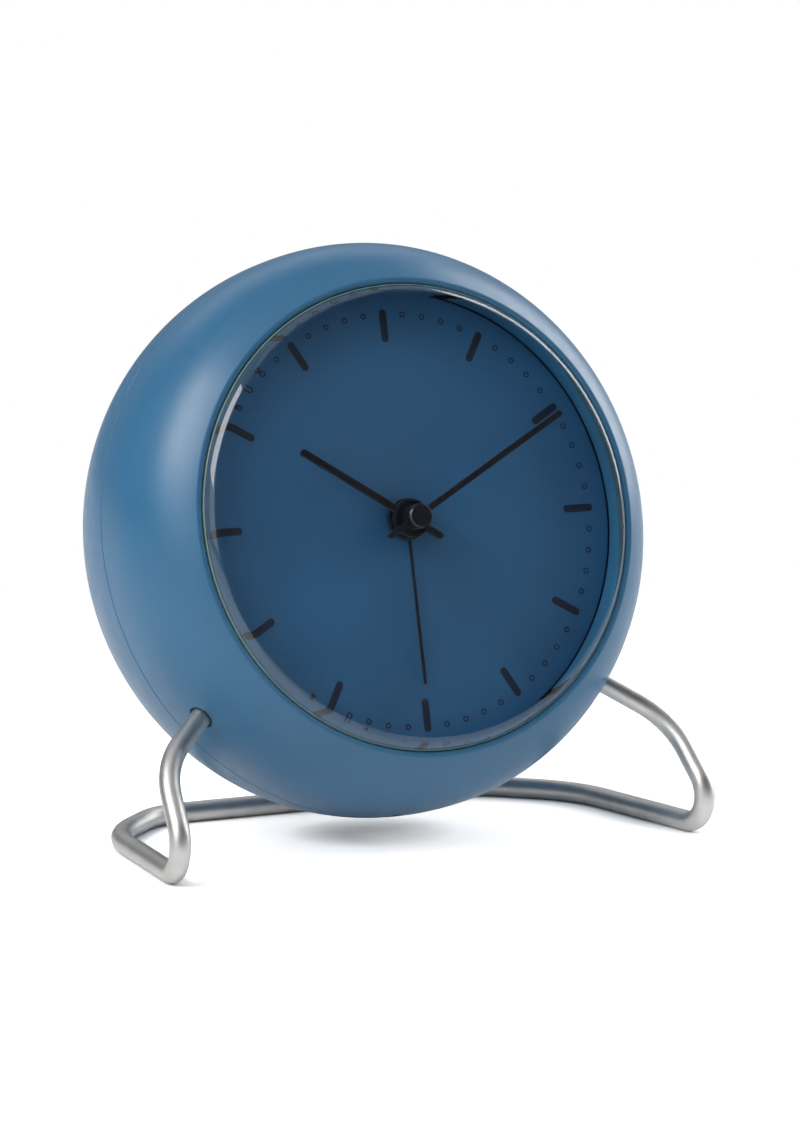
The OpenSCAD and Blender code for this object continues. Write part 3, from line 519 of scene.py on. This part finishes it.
def rod(start, end, radius):
    """A bmesh of a plain cylinder between two points."""
    bm = bmesh.new()
    way = end - start
    turn = way.to_track_quat("Z", "Y").to_matrix().to_4x4()
    bmesh.ops.create_cone(bm, cap_ends=True, segments=rod_faces, radius1=radius, radius2=radius,
                          depth=way.length, matrix=Matrix.Translation((start + end) / 2) @ turn)
    return bm


def slot_cutters():
    """The sound slots under the case."""
    cutters = []
    for i in range(slot_count):
        x = slot_x + (i - (slot_count - 1) / 2) * slot_pitch
        ends = arc((x, slot_to - slot_w / 2), slot_w / 2, 0, 180, slot_steps)
        ends += arc((x, slot_from + slot_w / 2), slot_w / 2, 180, 360, slot_steps)
        bm = extruded([(px, py, -case_r - 1) for px, py in ends], (0, 0, 3 * wall))
        cutters.append(mesh_from("slot", bm))
    return cutters


def hole_point(side):
    """Where the wire leaves the case, from the dial's centre, in the row frame."""
    turn = math.radians(hole_turn)
    r = egg_r(hole_y)
    at = Vector((side * r * math.sin(turn), hole_y, -r * math.cos(turn)))
    return (CLOCK @ at - dial_centre) / MM


def route_point(p, side=1):
    """A stand point with its height above the table, from the dial's centre."""
    return Vector((side * p.x, p.y, p.z - dial_centre.z / MM))


def mouth_cutters(side):
    """The stepped hole that the wire comes out of."""
    at = hole_point(side)
    way = (at - route_point(shoulder, side)).normalized()
    mouth = rod(at - way * wall, at + way * mouth_depth, wire_r + mouth_gap)
    bore = rod(at - way * wall, at + way * (wire_in + fit), wire_r + bore_gap)
    return [mesh_from("mouth", mouth, STAND), mesh_from("bore", bore, STAND)]


def around(r, turn):
    """A place on a circle round the Y axis, at a turn in degrees from twelve o'clock."""
    return Vector((r * math.sin(math.radians(turn)), 0, r * math.cos(math.radians(turn))))


def make_case(material):
    slots = slot_cutters()
    front = mesh_from("front_shell_moulding", lathe(front_shell_outline(), case_faces))
    front = boolean(front, slots + mouth_cutters(-1) + mouth_cutters(1), "DIFFERENCE")
    egg_true_normals(front)
    piece("front_shell_moulding", front, "case", "blue_lacquer", material, "front_shell")

    rear = mesh_from("rear_shell_moulding", lathe(rear_shell_outline(), case_faces))
    wells = []
    for turn in case_screw_turns:
        at = around(case_screw_r, turn)
        deep = Vector((0, 1, 0))
        well = rod(at + deep * well_floor_y, at + deep * back_y, well_r)
        wells.append(mesh_from("well", well))
    rear = boolean(rear, wells + slot_cutters(), "DIFFERENCE")
    egg_true_normals(rear)
    piece("rear_shell_moulding", rear, "case", "blue_lacquer", material, "rear_shell")


# Crystal and dial
bevel_r = crystal_r - bevel_w
bevel_y = lip_back_y - flange_t
dial_edge_r = dial_r - dial_edge_gap


def bulged(start, end, turn, steps):
    """Points along a shallow arc between two places, which leaves their line by an angle."""
    start, end = Vector(start), Vector(end)
    chord = end - start
    radius = chord.length / 2 / math.sin(math.radians(turn))
    out = Vector((-chord.y, chord.x)).normalized()
    if out.y > 0:
        out = -out
    middle = (start + end) / 2 - out * radius * math.cos(math.radians(turn))
    points = []
    for i in range(steps + 1):
        a = math.radians(turn * (2 * i / steps - 1))
        spoke = math.cos(a) * out + math.sin(a) * chord.normalized()
        points.append(tuple(middle + radius * spoke))
    return points


def crystal_outline():
    crown_y = bevel_y - bevel_h
    inner_r = dial_r + glass_inner_over
    dome_radius = (bevel_r ** 2 + dome_rise ** 2) / (2 * dome_rise)
    inner_rise = dome_rise * inner_r ** 2 / bevel_r ** 2
    inner_radius = (inner_r ** 2 + inner_rise ** 2) / (2 * inner_rise)
    inner_y = crown_y + glass_t - dome_rise + inner_rise
    outer = []
    for i in range(dome_steps):
        r = bevel_r * i / dome_steps
        y = crown_y - dome_rise + dome_radius - math.sqrt(dome_radius ** 2 - r ** 2)
        outer.append((r, y, 0))
    inner = []
    for i in range(dome_steps):
        r = inner_r * (1 - (i + 1) / dome_steps)
        drop = inner_radius - math.sqrt(inner_radius ** 2 - r ** 2)
        inner.append((r, inner_y - inner_rise + drop, 0))
    bevel = bulged((bevel_r, crown_y), (crystal_r, bevel_y), bevel_bulge, bevel_steps)
    side_r = opening_r - glass_side_gap
    outline = outer + [(*p, 0) for p in bevel]
    outline += [(side_r, bevel_y + side_r - crystal_r, 0), (side_r, lip_back_y, 0)]
    outline += [(flange_r, lip_back_y, 0), (flange_r, flange_y, 0)]
    outline += [(inner_r, flange_y, 0), (inner_r, inner_y, glass_inner_round)] + inner
    return rounded(outline)


def make_crystal(clear, bevel, ground):
    """The clear glass, with a fine-ground bevel, and a coarser finish on its side and flange."""
    mesh = mesh_from("crystal_glass", lathe(crystal_outline(), case_faces))
    smooth_shaded(mesh, soft_crease)
    piece("crystal_glass", mesh, "case", "clear_glass", clear, "crystal")
    mesh.materials.append(bevel)
    mesh.materials.append(ground)
    for polygon in mesh.polygons:
        at = TO_CLOCK @ polygon.center
        r = math.hypot(at.x, at.z)
        if r > crystal_r:
            polygon.material_index = 2
        elif r > bevel_r and at.y < bevel_y:
            polygon.material_index = 1


def make_reflector(material, painted_recess_shade):
    """The wall round the dial, with a recess between its lower edge and the dial's rim whose faces are painted
    black as painted shade.
    """
    r = dial_r
    deep_r = r + shadow_depth
    floor_y = dial_t - shadow_floor_t
    outline = [(r, gasket_y, reflector_edge), (flange_r, gasket_y, 0), (flange_r, dial_t, 0)]
    outline += [(dial_edge_r, dial_t, 0), (dial_edge_r, floor_y, 0), (deep_r, floor_y, 0)]
    outline += [(deep_r, -shadow_gap, 0), (r, -shadow_gap, shadow_edge)]
    mesh = mesh_from("reflector_wall", lathe(rounded(outline), case_faces))
    piece("reflector_wall", mesh, "case", "blue_lacquer", material, "reflector_ring")
    mesh.materials.append(painted_recess_shade)
    over = 0.01
    # The recess's faces take the black ink: painted shade round the dial's rim
    for polygon in mesh.polygons:
        if (TO_CLOCK @ polygon.center).y > -shadow_gap - over:
            polygon.material_index = 1


def make_dial(face, ink):
    outline = [(dial_hole_r, 0, dial_edge), (dial_edge_r, 0, dial_edge)]
    outline += [(dial_edge_r, dial_t, 0), (dial_hole_r, dial_t, 0)]
    mesh = mesh_from("dial_disc", lathe(rounded(outline), dial_faces))
    piece("dial_disc", mesh, "case", "dial_blue", face, "dial")
    bars = []
    for i in range(hours):
        bar = bar_outline(bar_w, bar_end_r - bar_l, bar_end_r, 360 / hours * i)
        bars.append(plate(bar, -print_t, 0))
    mesh = mesh_from("printed_hour_bars", combined(bars))
    piece("printed_hour_bars", mesh, "case", "black_print", ink, "hour_bars")
    rings = []
    ring_r = ring_d / 2
    ring_in = ring_r - ring_line
    for i in range(minutes):
        if i % (minutes // hours):
            ring = lathe([(ring_r, 0), (ring_r, -print_t), (ring_in, -print_t), (ring_in, 0)],
                         ring_faces)
            at = around(ring_track_r, 360 / minutes * i)
            bmesh.ops.translate(ring, verts=ring.verts, vec=at)
            rings.append(ring)
    mesh = mesh_from("printed_minute_rings", combined(rings))
    piece("printed_minute_rings", mesh, "case", "black_print", ink, "minute_rings")


# Hands
def hub(outer_r, inner_r, front, thick, recess=0.0):
    """A bmesh of a hub, with an optional recess in its front face inside a rim."""
    back = front + thick
    corners = [(inner_r, back, 0), (outer_r, back, hub_edge), (outer_r, front, hub_edge)]
    if recess:
        rim_r = outer_r - hub_rim
        floor_y = front + recess
        corners += [(rim_r, front, hub_edge / 2), (rim_r, floor_y, 0), (inner_r, floor_y, 0)]
    else:
        corners += [(inner_r, front, 0)]
    return lathe(rounded(corners), hub_faces)


def make_hand(name, body, hub_bm, outline, front, thick, material, node):
    """A hand's blade, from its outline, in one with its hub."""
    blade = mesh_from(name + "_blade", plate(outline, front, front + thick, hand_edge))
    mesh = boolean(mesh_from(name, hub_bm), [blade], "UNION")
    piece(name, mesh, body, "black_hands", material, node)


def make_hands(material):
    ring = hub(alarm_hub_r, alarm_pipe_r, alarm_hub_y, alarm_hub_t)
    blade = bar_outline(alarm_w, 0.0, alarm_l, alarm_heading, blade_steps)
    make_hand("alarm_pointer", "alarm", ring, blade, alarm_hub_y + alarm_t / 2, alarm_t,
              material, "alarm_hand")
    ring = hub(hour_hub_r, hour_pipe_r, hour_hub_y, hour_hub_t, hub_rim)
    blade = bar_outline(hour_w, -tail_l, hour_l, hour_heading, blade_steps)
    make_hand("hour_pointer", "hour", ring, blade, hour_hub_y + hand_t / 2, hand_t,
              material, "hour_hand")
    ring = hub(minute_hub_r, arbor_r, minute_hub_y, minute_hub_t)
    blade = bar_outline(minute_w, -tail_l, minute_l, minute_heading, blade_steps)
    make_hand("minute_pointer", "minute", ring, blade, minute_hub_y + hand_t / 2, hand_t,
              material, "minute_hand")
    front = minute_hub_y - cap_t
    outline = [(0, front, 0), (cap_r - cap_round, front, cap_edge)]
    outline += [(cap_r, front + cap_round, cap_edge), (cap_r, minute_hub_y, cap_foot_edge)]
    outline += [(0, minute_hub_y, 0)]
    mesh = mesh_from("arbor_cap", lathe(rounded(outline), hub_faces))
    piece("arbor_cap", mesh, "minute", "black_hands", material, "hand_cap")


# Setting knobs
def flute(turn):
    """How far a knob's side is cut in at a turn in degrees, as a share of the flutes' depth."""
    pitch = 360 / flute_count
    off = abs((turn + pitch / 2) % pitch - pitch / 2) / (pitch * flute_share / 2)
    return math.cos(min(1, off) * math.pi / 2) ** 2


def make_knob(name, body, material, node):
    """A fluted knob with a shallow dish in its face, placed from the box of its CAD node."""
    low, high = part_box(node)
    centre = TO_CLOCK @ ((Vector(low) + Vector(high)) / 2)
    face_y = knob_y + knob_h
    # Rings from the stem's hole to the middle of the dish: radius, depth and share of the flutes
    foot_share = 0.6
    rings = [(stem_hole_r, knob_y, 0), (knob_r - knob_soft / 2, knob_y, foot_share),
             (knob_r, knob_y + knob_soft / 2, 1)]
    for i in range(knob_steps + 1):
        a = math.pi / 2 * i / knob_steps
        rings.append((knob_r - knob_soft * (1 - math.cos(a)),
                      face_y - knob_soft * (1 - math.sin(a)), math.cos(a)))
    dish_bend_r, dish_bend_share = dish_r + dish_depth / 3, 0.7
    rings += [(dish_r + dish_depth, face_y, 0),
              (dish_bend_r, face_y - dish_depth * dish_bend_share, 0),
              (dish_r - dish_depth, face_y - dish_depth, 0), (0, face_y - dish_depth, 0)]
    bm = bmesh.new()
    segments = flute_count * flute_faces
    loops = []
    for radius, y, cut in rings:
        loop = []
        for i in range(segments if radius else 1):
            turn = 360 * i / segments
            at = around(radius - cut * flute_depth * flute(turn), turn)
            loop.append(bm.verts.new((centre.x + at.x, y, centre.z + at.z)))
        loops.append(loop)
    for near, far in zip(loops, loops[1:]):
        bridge(bm, near, far, segments)
    bm.faces.new(loops[0])
    mesh = mesh_from(name, bm)
    smooth_shaded(mesh, soft_crease)
    piece(name, mesh, body, "panel_moulding", material, node)


# Stand
def bend(before, at, after, radius):
    """Places and headings round one bend of the wire."""
    back = (before - at).normalized()
    ahead = (after - at).normalized()
    half = back.angle(ahead) / 2
    out = -(back + ahead).normalized()
    middle = at - out * radius / math.sin(half)
    side = (ahead - out * ahead.dot(out)).normalized()
    sweep = math.pi - 2 * half
    rings = []
    for i in range(bend_steps + 1):
        turn = sweep * (i / bend_steps - 0.5)
        rings.append((middle + radius * (math.cos(turn) * out + math.sin(turn) * side),
                      math.cos(turn) * side - math.sin(turn) * out))
    return rings


def wire_path():
    """Places and headings along one half of the wire, from the middle of its rear run."""
    end_at = hole_point(1)
    way = (end_at - route_point(shoulder)).normalized()
    route = [Vector((0, run.y, run.z)), run, corner, foot, shoulder]
    route = [route_point(p) for p in route] + [end_at + way * wire_in]
    radii = [run_bend, corner_bend, foot_bend, shoulder_bend]
    rings = [(route[0], Vector((1, 0, 0)))]
    for i, radius in enumerate(radii):
        rings += bend(route[i], route[i + 1], route[i + 2], radius)
    rings.append((route[-1], way))
    return rings


def make_stand(material):
    """The wire, swept along its route, with its section carried along without twist."""
    right_half = wire_path()
    left_half = [(Vector((-at.x, at.y, at.z)), Vector((way.x, -way.y, -way.z)))
                 for at, way in reversed(right_half[1:])]
    turns = [2 * math.pi * i / wire_faces for i in range(wire_faces)]
    bm = bmesh.new()
    across = Vector((0, 0, -1))
    loops = []
    for at, way in left_half + right_half:
        across = (across - way * across.dot(way)).normalized()
        other = way.cross(across)
        ring = [math.cos(a) * across + math.sin(a) * other for a in turns]
        loops.append([bm.verts.new(at + (wire_r - wire_shy) * spoke) for spoke in ring])
    for low, high in zip(loops, loops[1:]):
        bridge(bm, low, high, wire_faces)
    bm.faces.new(loops[0])
    bm.faces.new(loops[-1])
    mesh = mesh_from("bent_wire", bm, STAND)
    piece("bent_wire", mesh, "case", "stand_steel", material, "wire_stand")


# Materials
noise_low = 0.3
noise_high = 0.7
bevel_clear = 0.985
glass_shadow = (0.9, 0.93, 0.93, 1)


def map_range(tree, source, limits, kind="LINEAR"):
    """Maps a value from one range to another: limits are its low and high, and theirs."""
    node = tree.nodes.new("ShaderNodeMapRange")
    node.interpolation_type = kind
    for name, value in zip(("From Min", "From Max", "To Min", "To Max"), limits):
        node.inputs[name].default_value = value
    tree.links.new(source, node.inputs["Value"])
    return node.outputs["Result"]


class Finish:
    """A material under construction, with short calls for the nodes that finishes share."""

    def __init__(self, name):
        self.material = bpy.data.materials.new(name)
        self.material.use_nodes = True
        self.tree = self.material.node_tree
        self.shader = self.tree.nodes["Principled BSDF"]
        self.place = self.tree.nodes.new("ShaderNodeTexCoord").outputs["Object"]

    def node(self, kind, **inputs):
        made = self.tree.nodes.new(kind)
        for name, value in inputs.items():
            made.inputs[name.replace("_", " ")].default_value = value
        return made

    def join(self, source, target):
        self.tree.links.new(source, target)
        return self

    def set(self, **inputs):
        for name, value in inputs.items():
            self.shader.inputs[name.replace("_", " ")].default_value = value
        return self

    def noise(self, size, detail):
        """A noise whose features are about size millimetres."""
        texture = self.node("ShaderNodeTexNoise", Scale=1 / (size * MM), Detail=detail)
        self.join(self.place, texture.inputs["Vector"])
        return texture.outputs["Fac"]

    def tint(self, source, low, high):
        """Maps a noise to a range between two colours, given as sRGB values up to 255."""
        ramp = self.node("ShaderNodeValToRGB")
        first, last = ramp.color_ramp.elements
        first.position, last.position = noise_low, noise_high
        first.color, last.color = linear(low), linear(high)
        self.join(source, ramp.inputs["Fac"])
        return ramp.outputs["Color"]

    def bump(self, source, height):
        """Bump from a noise, with a height in millimetres."""
        node = self.node("ShaderNodeBump", Distance=height * MM)
        self.join(source, node.inputs["Height"])
        self.join(node.outputs["Normal"], self.shader.inputs["Normal"])
        return self


def linear(colour):
    """Linear values of an sRGB colour given up to 255."""
    values = []
    for part in colour:
        part /= 255
        values.append(part / 12.92 if part <= 0.04045 else ((part + 0.055) / 1.055) ** 2.4)
    return (*values, 1.0)


def scaled(colour, by):
    return tuple(min(255, part * by) for part in colour)


def coated(name, colour, roughness, vary=0.03, patch=12, grain=0.25, grain_height=0.004,
           metallic=0.0, rough_vary=0.04, **inputs):
    """A painted, moulded or plated surface: slow colour drift, uneven gloss and a fine grain.
    The patches and the grain are given by their size in millimetres."""
    made = Finish(name)
    drift = made.noise(patch, detail=3)
    made.join(made.tint(drift, scaled(colour, 1 - vary), scaled(colour, 1 + vary)),
              made.shader.inputs["Base Color"])
    gloss = made.noise(patch / 4, detail=4)
    limits = (noise_low, noise_high, roughness - rough_vary, roughness + rough_vary)
    made.join(map_range(made.tree, gloss, limits), made.shader.inputs["Roughness"])
    made.set(Metallic=metallic, **inputs)
    made.bump(made.noise(grain, detail=2), grain_height)
    return made.material


def glass_material(name, tint, clear_share):
    """Glass that lets the lamps light what is behind it, with the rest of its face ground matt."""
    made = Finish(name)
    made.set(Base_Color=tint, Roughness=0.0, IOR=1.5, Transmission_Weight=clear_share)
    clear = made.node("ShaderNodeBsdfTransparent", Color=glass_shadow)
    mix = made.node("ShaderNodeMixShader")
    path = made.node("ShaderNodeLightPath")
    made.join(path.outputs["Is Shadow Ray"], mix.inputs["Fac"])
    made.join(made.shader.outputs["BSDF"], mix.inputs[1])
    made.join(clear.outputs["BSDF"], mix.inputs[2])
    made.join(mix.outputs["Shader"], made.tree.nodes["Material Output"].inputs["Surface"])
    return made.material


def make_materials():
    """The finish of each material slot, and of the crystal's bevel and ground faces."""
    return {
        "blue_lacquer": coated(
            "blue_lacquer", (50, 103, 140), 0.36, vary=0.02, grain=0.12, grain_height=0.0006),
        # The dial's broad, strong colour drift is partly its own uneven tone and partly painted reflection,
        # standing in for the cloudy sheen on it
        "dial_blue": coated(
            "dial_blue", (37, 89, 132), 0.55, vary=0.06, patch=26, grain=0.18,
            grain_height=0.002),
        "black_print": coated("black_ink", (10, 26, 48), 0.5, vary=0.1, grain=0.1),
        "black_hands": coated(
            "black_hands", (20, 20, 30), 0.3, vary=0.05, grain=0.3, grain_height=0.0003,
            rough_vary=0.02, Coat_Weight=0.4),
        "stand_steel": coated(
            "satin_steel", (204, 203, 201), 0.45, patch=4, grain=0.1, grain_height=0.0006,
            metallic=1.0),
        "panel_moulding": coated(
            "panel_plastic", (44, 80, 110), 0.55, grain=0.28, grain_height=0.03),
        "clear_glass": glass_material("clear_glass", (0.965, 0.99, 0.985, 1), 1.0),
        "bevel_glass": glass_material("bevel_glass", (0.88, 0.98, 0.94, 1), bevel_clear),
        "ground_glass": coated("ground_glass", (112, 138, 132), 0.6, patch=3, grain=0.1),
        "dark_rubber": coated("dark_rubber", (58, 84, 96), 0.7, grain=0.2),
        "dark_moulding": coated(
            "dark_moulding", (38, 40, 43), 0.45, grain=0.3, grain_height=0.01),
        "white_moulding": coated("white_moulding", (222, 222, 214), 0.4, grain=0.4),
        "screw_steel": coated(
            "zinc_steel", (176, 178, 184), 0.32, patch=1.5, grain=0.1, metallic=1.0),
        "arbor_brass": coated(
            "turned_brass", (196, 160, 92), 0.3, patch=2, grain=0.1, metallic=1.0),
        "board_green": coated("solder_mask", (24, 86, 52), 0.35, patch=3, grain=0.2),
        "coil_copper": coated(
            "copper_winding", (176, 104, 62), 0.35, patch=1, grain=0.15, metallic=1.0),
        "cell_jacket": coated("cell_jacket", (150, 154, 160), 0.3, patch=8, grain=0.3),
        "contact_nickel": coated(
            "nickel_plate", (190, 188, 180), 0.28, patch=2, grain=0.1, metallic=1.0),
    }


# Camera, matched to the photograph, with its lens as pixels of the picture
image_height_px = 1143
focal_px = 5292
sensor_mm = 36
camera_from_dial = Vector((-446.87, -883.54, 137.55)) * MM
camera_azimuth = math.radians(-26.792)
camera_elevation = math.radians(8.461)


def make_camera():
    data = bpy.data.cameras.new("camera")
    data.sensor_fit = "VERTICAL"
    data.sensor_height = sensor_mm
    data.lens = focal_px / image_height_px * sensor_mm
    camera = bpy.data.objects.new("camera", data)
    scene.collection.objects.link(camera)
    right = Vector((math.cos(camera_azimuth), math.sin(camera_azimuth), 0))
    back = Vector((right.y * math.cos(camera_elevation), -right.x * math.cos(camera_elevation),
                   math.sin(camera_elevation)))
    matrix = Matrix((right, back.cross(right), back)).transposed().to_4x4()
    matrix.translation = dial_centre + camera_from_dial
    camera.matrix_world = matrix
    scene.camera = camera


# Studio. Ways are a compass angle, anticlockwise from +X, and a height angle, in degrees. Sizes
# and distances are in metres
fill_light = 0.07
room_light = 0.06
backdrop_light = 0.25
backdrop_way = (63, 12)
backdrop_reach = (60, 26)
card_share = 0.1
card_way = (-62, 22)
card_reach = (42, 24)
floor_r = 3.0
floor_faces = 96
floor_paint = (0.88, 0.88, 0.88, 1)
floor_lift = 0.62
floor_gloss_share = 0.3
floor_fade = (0.16, 0.32)
contact_reach = 0.006
contact_samples = 8
contact_dark = 0.1
lamp_distance = 1.0
# Name, way, width, height and radiance of each lamp
lamps = (
    ("left_box", (190, 42), 0.55, 0.6, 8.4),
    ("left_low_box", (203, 16), 0.6, 0.4, 1.5),
    ("right_box", (5, 26), 0.9, 0.9, 4.2),
    ("rear_box", (150, 38), 0.5, 0.5, 0.2),
    ("back_strip", (75, 38), 1.0, 0.4, 0.7),
    ("top_box", (270, 80), 0.8, 0.8, 0.5),
)


def heading(azimuth, elevation):
    """Unit direction from a compass angle and a height angle."""
    a = math.radians(azimuth)
    e = math.radians(elevation)
    return Vector((math.cos(a) * math.cos(e), math.sin(a) * math.cos(e), math.sin(e)))


def patch(tree, direction, way, reach, outside, inside):
    """World brightness of a soft round patch, with its outer and inner reach in degrees."""
    dot = tree.nodes.new("ShaderNodeVectorMath")
    dot.operation = "DOT_PRODUCT"
    dot.inputs[1].default_value = heading(*way)
    tree.links.new(direction, dot.inputs[0])
    outer, inner = (math.cos(math.radians(angle)) for angle in reach)
    return map_range(tree, dot.outputs["Value"], (outer, inner, outside, inside), "SMOOTHSTEP")


def maths(tree, operation, *sources):
    """A sum on sockets and plain numbers."""
    node = tree.nodes.new("ShaderNodeMath")
    node.operation = operation
    for source, target in zip(sources, node.inputs):
        if isinstance(source, bpy.types.NodeSocket):
            tree.links.new(source, target)
        else:
            target.default_value = source
    return node.outputs["Value"]


def softbox(name, way, width, height, radiance):
    """A rectangular lamp that looks at the clock."""
    way = heading(*way)
    lamp = bpy.data.lights.new(name, "AREA")
    lamp.shape = "RECTANGLE"
    lamp.size = width
    lamp.size_y = height
    lamp.energy = radiance * math.pi * width * height
    obj = bpy.data.objects.new(name, lamp)
    scene.collection.objects.link(obj)
    obj.location = dial_centre + way * lamp_distance
    obj.rotation_euler = way.to_track_quat("Z", "Y").to_euler()


def make_world():
    """Plain white for the camera, an even fill for matt surfaces, and for glossy ones a dim room
    with a white backdrop behind the clock and a black card where the glass would mirror it."""
    world = bpy.data.worlds.new("studio")
    world.use_nodes = True
    scene.world = world
    tree = world.node_tree
    new = tree.nodes.new
    join = tree.links.new
    background = tree.nodes["Background"]
    background.inputs["Color"].default_value = (1, 1, 1, 1)
    direction = new("ShaderNodeTexCoord").outputs["Generated"]
    backdrop = patch(tree, direction, backdrop_way, backdrop_reach, room_light, backdrop_light)
    card = patch(tree, direction, card_way, card_reach, 1.0, card_share)
    path = new("ShaderNodeLightPath")
    filled = new("ShaderNodeMix")
    filled.inputs["B"].default_value = fill_light
    join(path.outputs["Diffuse Depth"], filled.inputs["Factor"])
    join(maths(tree, "MULTIPLY", backdrop, card), filled.inputs["A"])
    seen = new("ShaderNodeMix")
    seen.inputs["B"].default_value = 1.0
    join(path.outputs["Is Camera Ray"], seen.inputs["Factor"])
    join(filled.outputs["Result"], seen.inputs["A"])
    join(seen.outputs["Result"], background.inputs["Strength"])


def make_floor():
    """A pale floor that takes the shadow near the clock and turns to plain white further out. A
    glow lifts its shade for the camera, and less so in reflections, but not close under things."""
    bm = bmesh.new()
    bmesh.ops.create_circle(bm, cap_ends=True, segments=floor_faces, radius=floor_r)
    mesh = bpy.data.meshes.new("floor")
    bm.to_mesh(mesh)
    bm.free()
    floor = bpy.data.objects.new("floor", mesh)
    scene.collection.objects.link(floor)
    material = bpy.data.materials.new("floor")
    material.use_nodes = True
    tree = material.node_tree
    new = tree.nodes.new
    join = tree.links.new
    tree.nodes.remove(tree.nodes["Principled BSDF"])
    diffuse = new("ShaderNodeBsdfDiffuse")
    diffuse.inputs["Color"].default_value = floor_paint
    path = new("ShaderNodeLightPath")
    by_camera = path.outputs["Is Camera Ray"]
    by_gloss = path.outputs["Is Glossy Ray"]
    open_sky = new("ShaderNodeAmbientOcclusion")
    open_sky.samples = contact_samples
    open_sky.inputs["Distance"].default_value = contact_reach
    lift = map_range(tree, open_sky.outputs["AO"], (contact_dark, 1.0, 0.0, floor_lift))
    share = maths(tree, "MULTIPLY_ADD", by_gloss, floor_gloss_share, by_camera)
    glow = new("ShaderNodeEmission")
    join(maths(tree, "MULTIPLY", share, lift), glow.inputs["Strength"])
    near = new("ShaderNodeAddShader")
    join(diffuse.outputs[0], near.inputs[0])
    join(glow.outputs[0], near.inputs[1])
    distance = new("ShaderNodeVectorMath")
    distance.operation = "LENGTH"
    join(new("ShaderNodeTexCoord").outputs["Object"], distance.inputs[0])
    fade = map_range(tree, distance.outputs["Value"], (*floor_fade, 0.0, 1.0), "SMOOTHSTEP")
    shown = maths(tree, "MAXIMUM", by_camera, by_gloss)
    white = new("ShaderNodeEmission")
    mix = new("ShaderNodeMixShader")
    join(maths(tree, "MULTIPLY", fade, shown), mix.inputs["Fac"])
    join(near.outputs[0], mix.inputs[1])
    join(white.outputs[0], mix.inputs[2])
    join(mix.outputs["Shader"], tree.nodes["Material Output"].inputs["Surface"])
    mesh.materials.append(material)


def make_studio():
    make_world()
    make_floor()
    for lamp in lamps:
        softbox(*lamp)


# CAD nodes
weld_gap = 1e-6
softened_angle = 40


def dress_plain_nodes(materials):
    """Gives every CAD node its slot's finish, and softens the edges of some that stay in view."""
    slots = {row["node"]: row["material_slot"] for row in frame["record"]["subparts"]}
    for name, obj in frame["nodes"].items():
        obj.data.materials.clear()
        obj.data.materials.append(materials[slots[name]])
    for name, width in softened_edges.items():
        obj = frame["nodes"][name]
        weld = obj.modifiers.new("weld", "WELD")
        weld.merge_threshold = weld_gap
        soft = obj.modifiers.new("soft_edges", "BEVEL")
        soft.limit_method = "ANGLE"
        soft.angle_limit = math.radians(softened_angle)
        soft.width = width * MM
        soft.segments = edge_steps
        soft.harden_normals = True


make_camera()
materials = make_materials()
dress_plain_nodes(materials)
make_case(materials["blue_lacquer"])
make_crystal(materials["clear_glass"], materials["bevel_glass"], materials["ground_glass"])
# The reflector's recess is painted with the black ink as painted shade
make_reflector(materials["blue_lacquer"], materials["black_print"])
make_dial(materials["dial_blue"], materials["black_print"])
make_hands(materials["black_hands"])
make_knob("time_setting_knob", "time_setting", materials["panel_moulding"], "time_knob")
make_knob("alarm_setting_knob", "alarm_setting", materials["panel_moulding"], "alarm_knob")
make_stand(materials["stand_steel"])
make_studio()
scene.view_settings.view_transform = "Standard"
